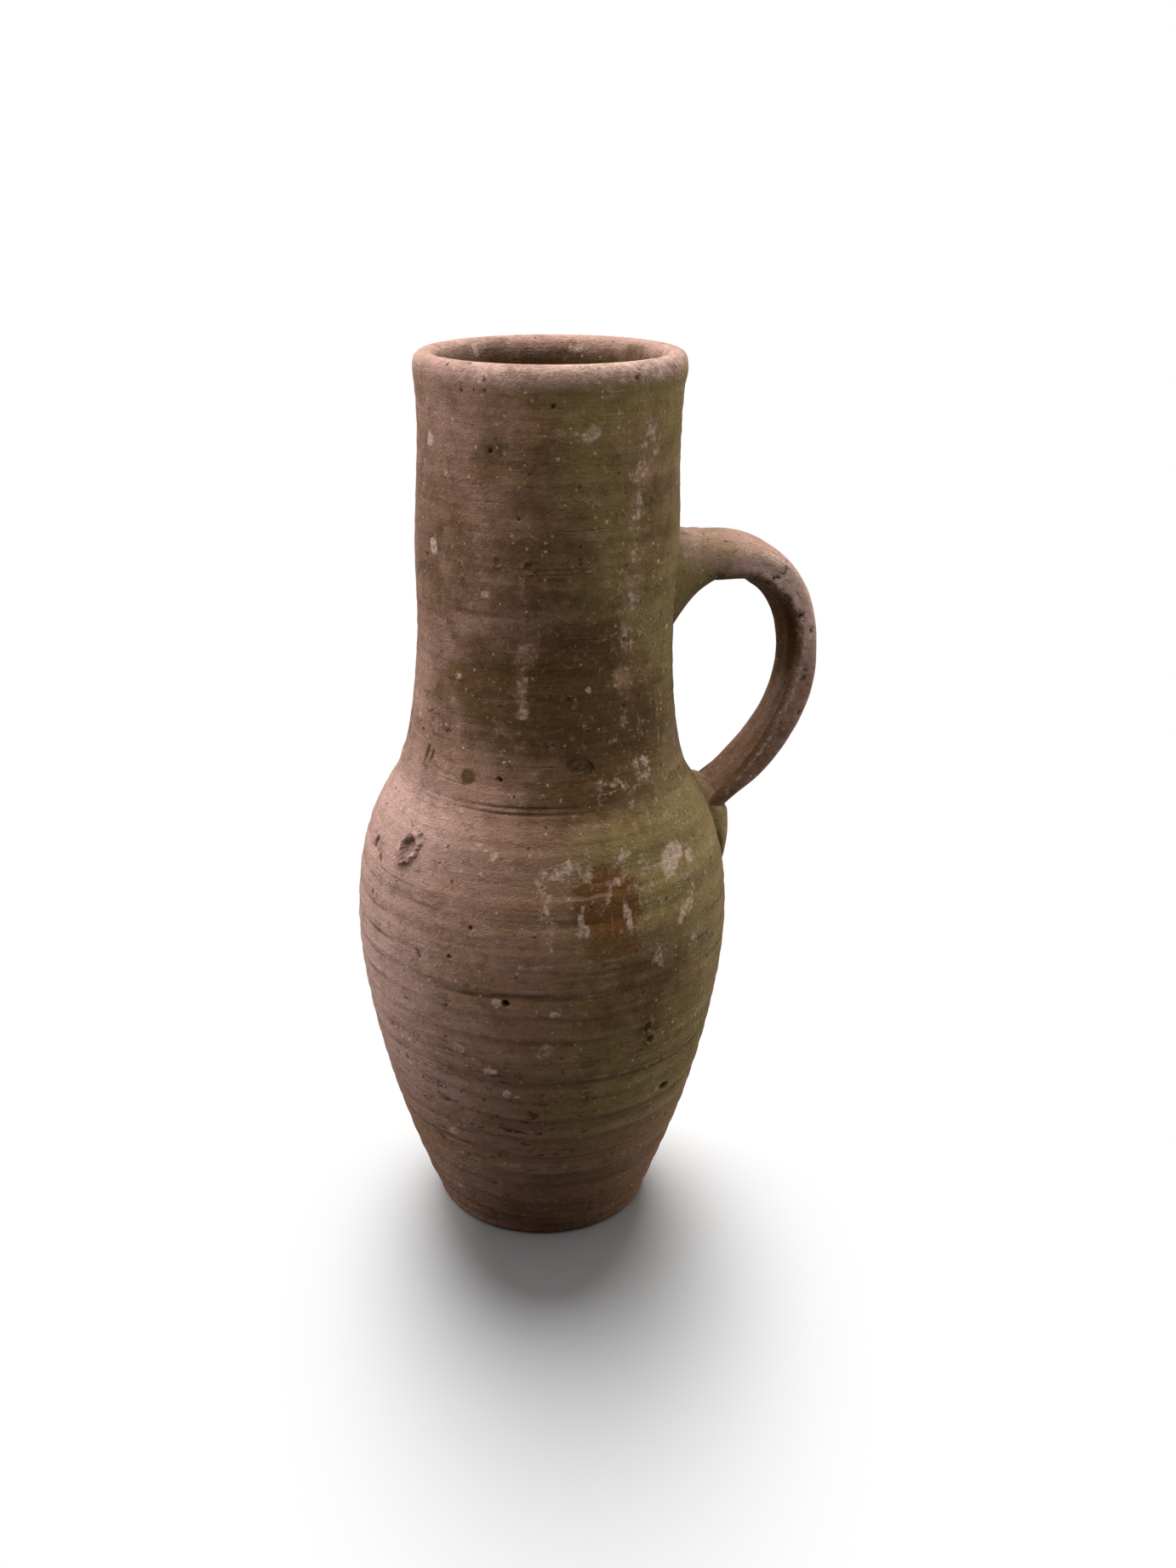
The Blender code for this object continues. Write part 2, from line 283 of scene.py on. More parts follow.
def bar_piece(name, around, along):
    """A round bar of unit length and radius along Z, cut into many rings, ready to be bent."""
    bpy.ops.object.select_all(action="DESELECT")
    bpy.ops.mesh.primitive_cylinder_add(vertices=around, radius=1, depth=1, location=(0, 0, 0.5))
    bpy.ops.object.transform_apply(location=True, rotation=True, scale=True)
    piece = begin_piece(name)
    bpy.ops.mesh.select_mode(type="EDGE")
    bpy.ops.mesh.select_all(action="DESELECT")
    bm = bmesh.from_edit_mesh(piece.data)
    for edge in bm.edges:
        low, high = edge.verts
        edge.select = abs(low.co.z - high.co.z) > 0.5
    bmesh.update_edit_mesh(piece.data)
    bpy.ops.mesh.subdivide(number_cuts=along)
    bpy.ops.mesh.select_mode(type="VERT")
    close_piece()
    return piece


def read_vectors(items, name):
    """One vector of each vertex or face, as the rows of an array."""
    values = np.empty(len(items) * 3, np.float32)
    items.foreach_get(name, values)
    return values.reshape(-1, 3).astype(np.float64)


def read_points(piece):
    return read_vectors(piece.data.vertices, "co")


def write_points(piece, points):
    piece.data.vertices.foreach_set("co", points.astype(np.float32).ravel())
    piece.data.update()


def cloud(points, scale, seed):
    """Smooth noise from -1 to 1 at each point. The scale is cycles per metre."""
    places = points * float(scale) + SEED_STEP * seed
    return np.array([noise.noise(Vector(place)) for place in places])


# Marks on the clay: where, how wide, how tall (mm), turned by how many degrees, and how deep or strong

Mark = namedtuple("Mark", "azimuth height across along tilt depth")


def mark_distance(points, mark, ragged):
    """How far each point lies from a mark: 0 at its middle, 1 at its edge."""
    centre = lean(points[:, 2])
    azimuth = np.degrees(np.arctan2(points[:, 1], points[:, 0] - centre))
    radius = np.hypot(points[:, 0] - centre, points[:, 1])
    aside = radius * np.radians(wrap_degrees(azimuth - mark.azimuth))
    rise = points[:, 2] - mark.height * MM
    turn = math.radians(mark.tilt)
    u = aside * math.cos(turn) + rise * math.sin(turn)
    v = rise * math.cos(turn) - aside * math.sin(turn)
    flat = np.hypot(u / (mark.across * MM / 2), v / (mark.along * MM / 2))
    return flat * (1 + ragged)


def subdivide_marks(piece, marks):
    """Divide the wall more finely under the marks that are cut into it."""
    mesh = piece.data
    centres = read_vectors(mesh.polygons, "center")
    near = np.zeros(len(centres), bool)
    for mark in marks:
        roomy = mark._replace(across=mark.across + MARK_ROOM, along=mark.along + MARK_ROOM)
        near |= mark_distance(centres, roomy, 0.0) < 1.0
    bpy.ops.object.mode_set(mode="EDIT")
    bpy.ops.mesh.select_mode(type="FACE")
    bpy.ops.mesh.select_all(action="DESELECT")
    bm = bmesh.from_edit_mesh(mesh)
    bm.faces.ensure_lookup_table()
    for index in np.flatnonzero(near):
        bm.faces[index].select = True
    bmesh.update_edit_mesh(mesh)
    bpy.ops.mesh.subdivide(number_cuts=MARK_CUTS)
    bpy.ops.mesh.select_mode(type="VERT")
    bpy.ops.object.mode_set(mode="OBJECT")


BODY_PITS = (
    Mark(-112.6, 120.9, 3.2, 3.2, 0, 2.2),
    Mark(-55.7, 70.7, 5.0, 3.2, 10, 2.8),
    Mark(-129.9, 135.8, 2.0, 2.0, 0, 1.0),
    Mark(-123.3, 148.1, 2.0, 2.2, 0, 1.0),
    Mark(-141.0, 133.0, 2.2, 5.5, 35, 0.7),
    Mark(-170.9, 163.2, 3.2, 9.0, -25, 1.2),
    Mark(-164.8, 159.4, 3.0, 5.0, 20, 1.0),
    Mark(-166.0, 146.0, 1.8, 4.0, -15, 0.7),
    Mark(-122.4, 29.5, 2.2, 2.2, 0, 0.8),
    Mark(-96.0, 97.0, 2.0, 1.6, 0, 0.6),
    Mark(-131.0, 116.0, 1.8, 1.8, 0, 0.6),
    Mark(-147.0, 112.0, 2.2, 1.6, 0, 0.6),
    Mark(-152.0, 82.0, 2.0, 2.6, 0, 0.6),
    Mark(-108.0, 66.0, 5.0, 1.8, -12, 0.6),
    Mark(-135.0, 70.0, 6.0, 1.8, 6, 0.5),
    Mark(60.0, 118.0, 2.6, 2.2, 0, 1.2),
    Mark(118.0, 92.0, 2.4, 2.8, 0, 1.2),
    Mark(150.0, 140.0, 2.2, 2.2, 0, 1.0),
    Mark(28.0, 88.0, 2.4, 2.0, 0, 1.0),
)
BODY_DENTS = (
    Mark(-67.2, 101.0, 8.0, 8.0, 20, 0.5),
    Mark(84.0, 150.0, 12.0, 8.0, 10, 0.6),
    Mark(165.0, 62.0, 10.0, 7.0, -15, 0.5),
)
BODY_BLISTERS = (
    Mark(-150.5, 169.6, 9.5, 13.0, -28, 1.9),
    Mark(-69.0, 105.0, 4.5, 7.5, -22, 0.9),
    Mark(-67.0, 98.5, 5.0, 5.0, 25, 0.8),
    Mark(96.0, 164.0, 8.0, 7.0, 15, 0.9),
)
NECK_PITS = (
    Mark(-119.0, 198.1, 2.6, 1.8, -25, 1.2),
    Mark(-126.6, 311.9, 2.0, 2.0, 0, 0.8),
    Mark(-101.0, 327.1, 2.2, 2.6, 0, 1.0),
    Mark(-157.6, 201.0, 1.7, 9.0, -14, 0.7),
    Mark(-154.0, 200.5, 1.5, 7.0, -18, 0.6),
    Mark(-114.0, 290.0, 2.0, 1.6, 0, 0.6),
    Mark(-140.0, 331.0, 1.8, 1.8, 0, 0.6),
    Mark(-66.2, 335.0, 2.6, 2.2, 0, 0.6),
    Mark(100.0, 255.0, 2.4, 2.0, 0, 1.0),
    Mark(150.0, 288.0, 2.2, 2.4, 0, 1.0),
    Mark(60.0, 225.0, 2.0, 2.0, 0, 0.9),
)
NECK_FLAKES = (
    Mark(-87.2, 203.3, 11.0, 5.5, -16, 1.2),
    Mark(132.0, 214.0, 8.0, 4.5, 12, 0.9),
)
NECK_BLISTERS = (
    Mark(-122.5, 275.0, 4.0, 4.0, 0, 0.35),
    Mark(-109.5, 274.0, 5.0, 5.0, 0, 0.35),
)

BODY_CHALK = (
    Mark(-55.4, 167.3, 13.0, 8.0, 12, 0.95),
    Mark(-58.5, 164.0, 6.0, 8.0, 30, 0.9),
    Mark(-47.0, 165.0, 6.0, 7.0, -20, 0.7),
    Mark(-53.9, 146.2, 11.0, 5.0, 28, 0.6),
    Mark(-50.5, 150.5, 5.0, 8.0, -30, 0.45),
    Mark(-94.5, 169.2, 17.0, 6.5, 5, 0.55),
    Mark(-88.0, 167.0, 6.0, 4.0, -20, 0.6),
    Mark(-102.5, 165.0, 3.5, 7.0, 10, 0.55),
    Mark(-101.0, 157.0, 3.0, 12.0, -22, 0.6),
    Mark(-99.8, 147.0, 3.0, 12.0, 6, 0.5),
    Mark(-90.5, 151.5, 2.4, 12.0, -8, 0.9),
    Mark(-88.9, 148.0, 2.0, 6.0, -14, 0.7),
    Mark(-75.9, 151.4, 2.4, 13.0, 10, 0.9),
    Mark(-82.0, 158.5, 2.0, 9.0, -20, 0.6),
    Mark(-79.0, 164.0, 5.0, 3.5, 35, 0.6),
    Mark(-75.0, 172.0, 6.0, 4.0, 20, 0.55),
    Mark(-65.0, 133.0, 8.0, 7.0, 0, 0.4),
    Mark(-50.0, 133.0, 4.0, 8.0, 10, 0.4),
    Mark(-124.5, 178.6, 4.5, 4.0, 0, 0.8),
    Mark(-118.0, 174.0, 3.2, 3.2, 0, 0.7),
    Mark(-101.2, 100.6, 8.0, 7.0, 10, 0.5),
    Mark(-118.0, 90.2, 5.5, 3.6, 5, 0.75),
    Mark(-128.5, 98.5, 7.0, 4.0, -25, 0.5),
    Mark(-113.5, 80.0, 3.6, 2.8, 0, 0.95),
    Mark(-110.5, 79.0, 2.4, 2.2, 0, 0.9),
    Mark(-137.0, 54.0, 6.0, 4.0, -30, 0.5),
    Mark(-98.8, 116.6, 3.2, 3.2, 0, 0.85),
    Mark(-115.2, 120.9, 4.0, 4.2, 0, 0.85),
    Mark(-59.3, 71.0, 2.6, 2.6, 0, 0.6),
    Mark(-121.5, 30.0, 6.0, 5.0, 0, 0.35),
    Mark(-143.0, 20.0, 4.0, 2.4, 0, 0.6),
    Mark(-75.0, 14.0, 3.0, 2.0, 0, 0.5),
    Mark(35.0, 160.0, 9.0, 6.0, 20, 0.6),
    Mark(72.0, 130.0, 3.0, 14.0, 8, 0.6),
    Mark(140.0, 110.0, 7.0, 5.0, 15, 0.6),
    Mark(-178.0, 120.0, 5.0, 4.0, 0, 0.6),
)
NECK_DRIPS = (
    Mark(-54.5, 314.0, 11.0, 20.0, -6, 0.38),
    Mark(-59.5, 303.0, 8.0, 16.0, -24, 0.44),
    Mark(-63.8, 291.0, 6.0, 18.0, -4, 0.44),
    Mark(-62.0, 277.0, 8.0, 18.0, -8, 0.38),
    Mark(-63.0, 262.0, 8.0, 18.0, -10, 0.40),
    Mark(-64.8, 248.0, 7.0, 14.0, 0, 0.34),
    Mark(-67.0, 233.0, 9.0, 9.0, 40, 0.35),
    Mark(-111.5, 232.0, 4.0, 19.0, 2, 0.42),
    Mark(-110.9, 222.5, 4.4, 5.5, 0, 0.58),
    Mark(-109.5, 244.0, 8.0, 10.0, 0, 0.34),
    Mark(-112.0, 262.0, 3.0, 14.0, 0, 0.3),
)
NECK_CHALK = (
    Mark(-58.0, 197.0, 8.0, 14.0, 8, 0.46),
    Mark(-73.1, 195.7, 6.0, 3.6, 0, 0.5),
    Mark(-77.5, 197.0, 3.4, 2.6, 0, 0.5),
    Mark(-68.5, 194.0, 3.4, 2.6, 0, 0.5),
    Mark(-162.4, 312.8, 4.0, 5.6, 10, 0.95),
    Mark(-157.6, 276.9, 4.6, 7.0, -12, 0.95),
    Mark(-149.4, 302.2, 2.8, 3.0, 0, 0.7),
    Mark(-157.0, 322.0, 2.6, 2.6, 0, 0.6),
    Mark(-127.3, 263.0, 3.4, 3.0, 0, 0.75),
    Mark(-128.5, 253.9, 2.8, 2.6, 0, 0.6),
    Mark(-85.8, 317.5, 6.5, 4.6, 15, 0.75),
    Mark(-83.5, 320.5, 3.0, 2.6, 0, 0.6),
    Mark(-98.0, 318.5, 2.2, 2.2, 0, 0.6),
    Mark(-85.2, 272.0, 3.0, 2.0, 30, 0.7),
    Mark(-69.0, 271.0, 4.0, 2.6, 0, 0.5),
    Mark(-130.9, 336.4, 6.0, 5.0, 0, 0.75),
    Mark(-123.0, 336.8, 4.0, 3.0, 0, 0.5),
    Mark(-131.0, 206.0, 4.0, 3.0, 0, 0.4),
    Mark(-141.0, 233.0, 3.4, 3.0, 0, 0.6),
    Mark(48.0, 300.0, 5.0, 12.0, 0, 0.5),
    Mark(95.0, 230.0, 8.0, 5.0, 20, 0.5),
    Mark(130.0, 310.0, 4.0, 6.0, 0, 0.7),
)
MOUTH_CRUST = (
    Mark(120.4, 336.4, 4.0, 3.0, 0, 0.8),
    Mark(64.3, 335.4, 6.0, 4.0, 0, 0.7),
    Mark(-20.0, 330.0, 5.0, 6.0, 0, 0.5),
)
MOUTH_STAINS = (
    Mark(26.0, 334.0, 20.0, 9.0, 0, 0.7),
    Mark(66.0, 335.0, 10.0, 7.0, 0, 0.6),
    Mark(95.0, 320.0, 30.0, 14.0, 0, 0.5),
)
NECK_SPOTS = (
    Mark(-133.2, 197.7, 5.8, 5.8, 0, 1.0),
    Mark(-116.0, 186.5, 4.0, 4.0, 0, 0.7),
)
BODY_RUST = (
    Mark(-81.9, 156.3, 26.0, 26.0, 0, 1.0),
    Mark(-82.5, 142.0, 22.0, 16.0, 0, 0.65),
    Mark(-80.0, 128.0, 20.0, 14.0, 0, 0.35),
    Mark(40.0, 120.0, 26.0, 18.0, 20, 0.5),
    Mark(47.0, 108.0, 14.0, 20.0, -10, 0.45),
)


def mark_mask(points, marks, ragged, softness):
    """The strongest of a group of marks at each point, ragged at its edges."""
    mask = np.zeros(len(points))
    for mark in marks:
        distance = mark_distance(points, mark, ragged)
        mask = np.maximum(mask, mark.depth * (1 - smoothstep(1 - softness, 1 + softness, distance)))
    return mask


def cut_marks(points, marks, ragged):
    """How deep each point is cut by pits, in metres, and how far it lies in one."""
    depth = np.zeros(len(points))
    inside = np.zeros(len(points))
    for mark in marks:
        hole = 1 - smoothstep(0.45, 1.05, mark_distance(points, mark, ragged))
        depth = np.maximum(depth, hole * mark.depth * MM)
        inside = np.maximum(inside, hole * min(1.0, 0.35 + 0.3 * mark.depth))
    return depth, inside


def raise_blisters(points, marks, ragged):
    """Lift of the ragged lips round burst blisters, in metres, and how far each point lies in one."""
    lift = np.zeros(len(points))
    inside = np.zeros(len(points))
    for mark in marks:
        distance = mark_distance(points, mark, ragged)
        lip = bell(distance, 0.82, 0.42)
        hole = 1 - smoothstep(0.3, 0.75, distance)
        lift += mark.depth * MM * (0.75 * lip - 0.7 * hole)
        inside = np.maximum(inside, hole)
    return lift, inside


def flake_marks(points, marks, ragged):
    """Depth of shallow flakes with one steep edge, in metres, and how far each point lies by that edge."""
    depth = np.zeros(len(points))
    edge = np.zeros(len(points))
    for mark in marks:
        distance = mark_distance(points, mark, ragged)
        rise = (points[:, 2] - mark.height * MM) / (mark.along * MM)
        scoop = (1 - smoothstep(0.85, 1.05, distance)) * np.clip(0.75 - rise, 0.25, 1.2)
        depth = np.maximum(depth, scoop * mark.depth * MM)
        edge = np.maximum(edge, bell(distance, 0.95, 0.3) * (rise < 0.05))
    return depth, edge


def paint(piece, masks):
    """Keep the painted masks on the piece, one value for each of its points."""
    for name in MASKS:
        values = np.clip(masks.get(name, np.zeros(len(piece.data.vertices))), 0.0, 1.0)
        layer = piece.data.attributes.new(name, "FLOAT", "POINT")
        layer.data.foreach_set("value", values.astype(np.float32))


class Wall:
    """Where each point of a turned piece lies on the pot."""

    def __init__(self, points, outline):
        self.points = points
        self.radius = np.hypot(points[:, 0], points[:, 1])
        self.azimuth = np.degrees(np.arctan2(points[:, 1], points[:, 0]))
        self.height = points[:, 2]
        outer = np.array(outline[: top_index(outline) + 1])
        outer = outer[np.argsort(outer[:, 1], kind="stable")]
        self.outer_radius = np.interp(self.height, outer[:, 1], outer[:, 0])
        self.depth = self.outer_radius - self.radius
        self.outside = 1 - smoothstep(1.5 * MM, 3.5 * MM, self.depth)
        self.ragged = 0.30 * cloud(points, 420, 1) + 0.18 * cloud(points, 1100, 2)

    def ridges(self, pitch, seed):
        """Throwing ridges that climb the wall in a slow screw: their height, and masks of painted highlight
        on their crests and painted shade in their undercuts.
        """
        drift = cloud(self.points * (1, 1, 0.25), 26, seed) * 0.35 * pitch
        strength = 0.6 + 0.5 * cloud(self.points * (1, 1, 2.5), 22, seed + 1)

        def screw(rise):
            return 2 * math.pi * (self.height + drift) / rise + np.radians(self.azimuth)

        lap = screw(pitch)
        wave = sum(np.sin(k * lap) / k for k in range(1, 5))
        wave += 0.55 * np.sin(screw(0.55 * pitch)) + 0.25 * np.sin(screw(0.21 * pitch) + 1.0)
        share = (lap / (2 * math.pi)) % 1.0
        broken = 0.6 + 0.9 * cloud(self.points * (1, 1, 3.0), 38, seed + 2)
        shown = np.clip(np.clip(strength, 0.0, 1.0) * broken, 0.0, 1.0)
        crest_highlight = bell(share, 0.08, 0.13) * shown
        undercut_shade = bell(share, 0.91, 0.18) * shown
        return wave * strength / 1.9, crest_highlight, undercut_shade


def move_out(points, distance):
    """Move points straight out from the pot's axis by a distance each."""
    radius = np.maximum(np.hypot(points[:, 0], points[:, 1]), MERGE_DISTANCE)
    moved = points.copy()
    moved[:, 0] += points[:, 0] / radius * distance
    moved[:, 1] += points[:, 1] / radius * distance
    return moved


def finish_piece(piece, node, masks):
    """Paint and shade a piece, give it its clay, hang it on the root and hide its solid."""
    paint(piece, masks)
    bpy.ops.object.select_all(action="DESELECT")
    piece.select_set(True)
    bpy.context.view_layer.objects.active = piece
    bpy.ops.object.shade_smooth_by_angle(angle=SMOOTH_ANGLE)
    piece.data.materials.clear()
    piece.data.materials.append(clay_material(node))
    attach(piece, "root")
    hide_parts(node)


# Node tools


class Tree:
    """Adds nodes to a tree and wires them as they are made."""

    def __init__(self, tree):
        self.tree = tree

    def add(self, kind, settings=None, **links):
        node = self.tree.nodes.new(kind)
        for name, value in (settings or {}).items():
            setattr(node, name, value)
        for name, value in links.items():
            self.feed(node, name.replace("_", " "), value)
        return node

    def feed(self, node, socket, value):
        target = node.inputs[int(socket) if socket.isdigit() else socket]
        if isinstance(value, bpy.types.NodeSocket):
            self.tree.links.new(value, target)
        else:
            target.default_value = value

    def math(self, operation, a, b=0.0, clamp=False):
        settings = {"operation": operation, "use_clamp": clamp}
        return self.add("ShaderNodeMath", settings, **{"0": a, "1": b}).outputs[0]

    def range(self, value, low, high, to_low=0.0, to_high=1.0):
        settings = {"interpolation_type": "SMOOTHSTEP"}
        links = {"0": value, "1": low, "2": high, "3": to_low, "4": to_high}
        return self.add("ShaderNodeMapRange", settings, **links).outputs[0]

    def mix(self, factor, a, b, blend="MIX"):
        settings = {"data_type": "RGBA", "blend_type": blend}
        return self.add("ShaderNodeMix", settings, **{"0": factor, "6": a, "7": b}).outputs[2]

    def noise(self, vector, scale, detail=4.0, roughness=0.55):
        node = self.add(
            "ShaderNodeTexNoise", Vector=vector, Scale=scale, Detail=detail, Roughness=roughness
        )
        return node.outputs[0]

    def sway(self, vector, reach, *noise_settings):
        """Shift a vector up and down by noise."""
        wave = self.noise(vector, *noise_settings)
        lifted = self.add("ShaderNodeCombineXYZ", Z=self.math("MULTIPLY", wave, reach)).outputs[0]
        return self.vector("ADD", vector, lifted)

    def vector(self, operation, a, b):
        node = self.add("ShaderNodeVectorMath", {"operation": operation}, **{"0": a, "1": b})
        return node.outputs[0]

    def share(self, mask, amount):
        return self.math("MULTIPLY", mask, amount)

    def stretch(self, vector, scale, turn=(0.0, 0.0, 0.0)):
        node = self.add("ShaderNodeMapping", Vector=vector, Rotation=turn, Scale=scale)
        return node.outputs[0]


def new_group(name, inputs, outputs):
    """An empty node group with named sockets: its tools, its inputs and its output node."""
    tree = bpy.data.node_groups.new(name, "ShaderNodeTree")
    for direction, sockets in (("INPUT", inputs), ("OUTPUT", outputs)):
        for socket, kind in sockets.items():
            tree.interface.new_socket(socket, in_out=direction, socket_type=f"NodeSocket{kind}")
    tools = Tree(tree)
    source = tools.add("NodeGroupInput")
    result = tools.add("NodeGroupOutput")
    return tools, source.outputs, result


# How far lines and cracks stray up and down, and how far the outlines of specks are shaken
LINE_SWAY = 0.004
SPECK_SHAKE = 0.0011


def group_clay_grain():
    """Sandy clay: a tone made of soft clouds and fine grit, and its bump height."""
    tools, given, result = new_group(
        "clay_grain", {"Vector": "Vector", "Contrast": "Float"}, {"Tone": "Float", "Height": "Float"}
    )
    broad = tools.range(tools.noise(given["Vector"], 75.0, 4.0, 0.6), 0.34, 0.66, -0.5, 0.5)
    fine = tools.range(tools.noise(given["Vector"], 620.0, 5.0, 0.72), 0.32, 0.68, -0.5, 0.5)
    grit = tools.range(tools.noise(given["Vector"], 1900.0, 2.0, 0.6), 0.32, 0.68, -0.5, 0.5)
    sand = tools.math("ADD", tools.share(fine, 0.75), tools.share(grit, 0.45))
    both = tools.math("ADD", tools.share(broad, 0.45), sand)
    tools.feed(result, "Tone", tools.math("ADD", tools.share(both, given["Contrast"]), 1.0))
    tools.feed(result, "Height", tools.share(sand, 0.7))
    return tools.tree


def group_throwing_lines():
    """Lines that fingers and sand leave round the pot on the wheel: soft bands, pale dashes and dark cuts."""
    tools, given, result = new_group(
        "throwing_lines",
        {"Vector": "Vector", "Spread": "Vector"},
        {"Tone": "Float", "Pale": "Float", "Dark": "Float"},
    )
    bent = tools.sway(given["Vector"], LINE_SWAY, 14.0, 2.0)
    drawn = tools.vector("MULTIPLY", bent, given["Spread"])
    tone = 0.0
    for scale, share in ((0.55, 0.5), (1.3, 0.55), (3.4, 0.18)):
        band = tools.range(tools.noise(drawn, scale, 2.0, 0.5), 0.34, 0.66, -share / 2, share / 2)
        tone = tools.math("ADD", tone, band)
    tools.feed(result, "Tone", tone)
    ridge = tools.noise(drawn, 2.4, 2.0, 0.5)
    broken = tools.noise(given["Vector"], 70.0, 5.0, 0.7)
    tools.feed(result, "Pale", tools.share(tools.range(ridge, 0.60, 0.68), tools.range(broken, 0.53, 0.62)))
    tools.feed(result, "Dark", tools.share(tools.range(ridge, 0.41, 0.34), tools.range(broken, 0.50, 0.42)))
    return tools.tree


def group_lime_specks():
    """Scattered crumbs of lime or grog with uneven outlines: only a share of the cells holds one."""
    tools, given, result = new_group(
        "lime_specks",
        {"Vector": "Vector", "Scale": "Float", "Size": "Float", "Share": "Float"},
        {"Mask": "Float"},
    )
    shake = tools.add("ShaderNodeTexNoise", Vector=given["Vector"], Scale=1500.0, Detail=2.0)
    offset = tools.add(
        "ShaderNodeVectorMath",
        {"operation": "MULTIPLY_ADD"},
        **{"0": shake.outputs["Color"], "1": (SPECK_SHAKE,) * 3, "2": given["Vector"]},
    )
    cells = tools.add(
        "ShaderNodeTexVoronoi", {"feature": "F1"}, Vector=offset.outputs[0], Scale=given["Scale"]
    )
    lot = tools.add("ShaderNodeSeparateColor", Color=cells.outputs["Color"]).outputs
    reach = tools.share(given["Size"], tools.math("ADD", lot[1], 0.25))
    dot = tools.range(cells.outputs["Distance"], reach, tools.share(reach, 0.4))
    chosen = tools.math("LESS_THAN", lot[0], given["Share"])
    tools.feed(result, "Mask", tools.share(dot, chosen))
    return tools.tree


def group_ragged_edge():
    """Breaks the soft border of a painted mask into flakes and crumbs."""
    tools, given, result = new_group(
        "ragged_edge",
        {"Vector": "Vector", "Mask": "Float", "Scale": "Float", "Bite": "Float", "Edge": "Float"},
        {"Mask": "Float"},
    )
    crumbs = tools.noise(given["Vector"], given["Scale"], 6.0, 0.65)
    swing = tools.share(tools.math("SUBTRACT", crumbs, 0.5), given["Bite"])
    pushed = tools.math("ADD", given["Mask"], swing)
    low = tools.math("SUBTRACT", 0.5, given["Edge"])
    high = tools.math("ADD", 0.5, given["Edge"])
    tools.feed(result, "Mask", tools.range(pushed, low, high))
    return tools.tree


def group_scuffs():
    """Flakes, runs and scratches that show paler clay, where the painted mask allows them."""
    tools, given, result = new_group("scuffs", {"Vector": "Vector", "Mask": "Float"}, {"Mask": "Float"})
    flakes = tools.range(tools.noise(given["Vector"], 260.0, 8.0, 0.72), 0.55, 0.64)
    runs = tools.noise(tools.stretch(given["Vector"], (330.0, 330.0, 60.0)), 1.0, 5.0, 0.65)
    turned = tools.stretch(given["Vector"], (80.0, 420.0, 620.0), (0.0, 0.75, 0.0))
    scratches = tools.range(tools.noise(turned, 1.0, 4.0, 0.6), 0.64, 0.70)
    marks = tools.math("MAXIMUM", flakes, tools.range(runs, 0.62, 0.70, 0.0, 0.8))
    marks = tools.math("MAXIMUM", marks, tools.share(scratches, 0.9))
    tools.feed(result, "Mask", tools.share(marks, given["Mask"]))
    return tools.tree


def group_tears():
    """Short level cracks where coarse grit was dragged through the wet clay."""
    tools, given, result = new_group("tears", {"Vector": "Vector", "Mask": "Float"}, {"Mask": "Float"})
    bent = tools.sway(given["Vector"], LINE_SWAY, 300.0, 3.0, 0.6)
    drawn = tools.stretch(bent, (95.0, 95.0, 560.0))
    cracks = tools.range(tools.noise(drawn, 1.0, 4.0, 0.6), 0.555, 0.62)
    broken = tools.range(tools.noise(given["Vector"], 200.0, 4.0, 0.65), 0.44, 0.54)
    tools.feed(result, "Mask", tools.share(tools.share(cracks, broken), given["Mask"]))
    return tools.tree


GROUP_MAKERS = {
    "clay_grain": group_clay_grain,
    "throwing_lines": group_throwing_lines,
    "lime_specks": group_lime_specks,
    "ragged_edge": group_ragged_edge,
    "scuffs": group_scuffs,
    "tears": group_tears,
}


def group(name):
    return bpy.data.node_groups.get(name) or GROUP_MAKERS[name]()


# How the clay of each piece differs: strength and spread of its streaks, shares of pin holes and specks
Finish = namedtuple("Finish", "streak spread pin_share speck_share")
FINISHES = {
    "body": Finish(0.30, (4.0, 4.0, 150.0), 0.14, 0.16),
    "neck": Finish(0.26, (4.0, 4.0, 150.0), 0.12, 0.16),
    "neck_slip_ring": Finish(0.26, (4.0, 4.0, 150.0), 0.10, 0.14),
    "handle": Finish(0.20, (40.0, 200.0, 40.0), 0.14, 0.16),
    "upper_wad": Finish(0.10, (60.0, 60.0, 90.0), 0.12, 0.16),
    "lower_wad": Finish(0.12, (60.0, 60.0, 90.0), 0.12, 0.16),
}
GRAIN_CONTRAST = 0.22
CLAY_SPECULAR = 0.04
BUMP_STRENGTH = 0.8
BUMP_DISTANCE = 0.0009


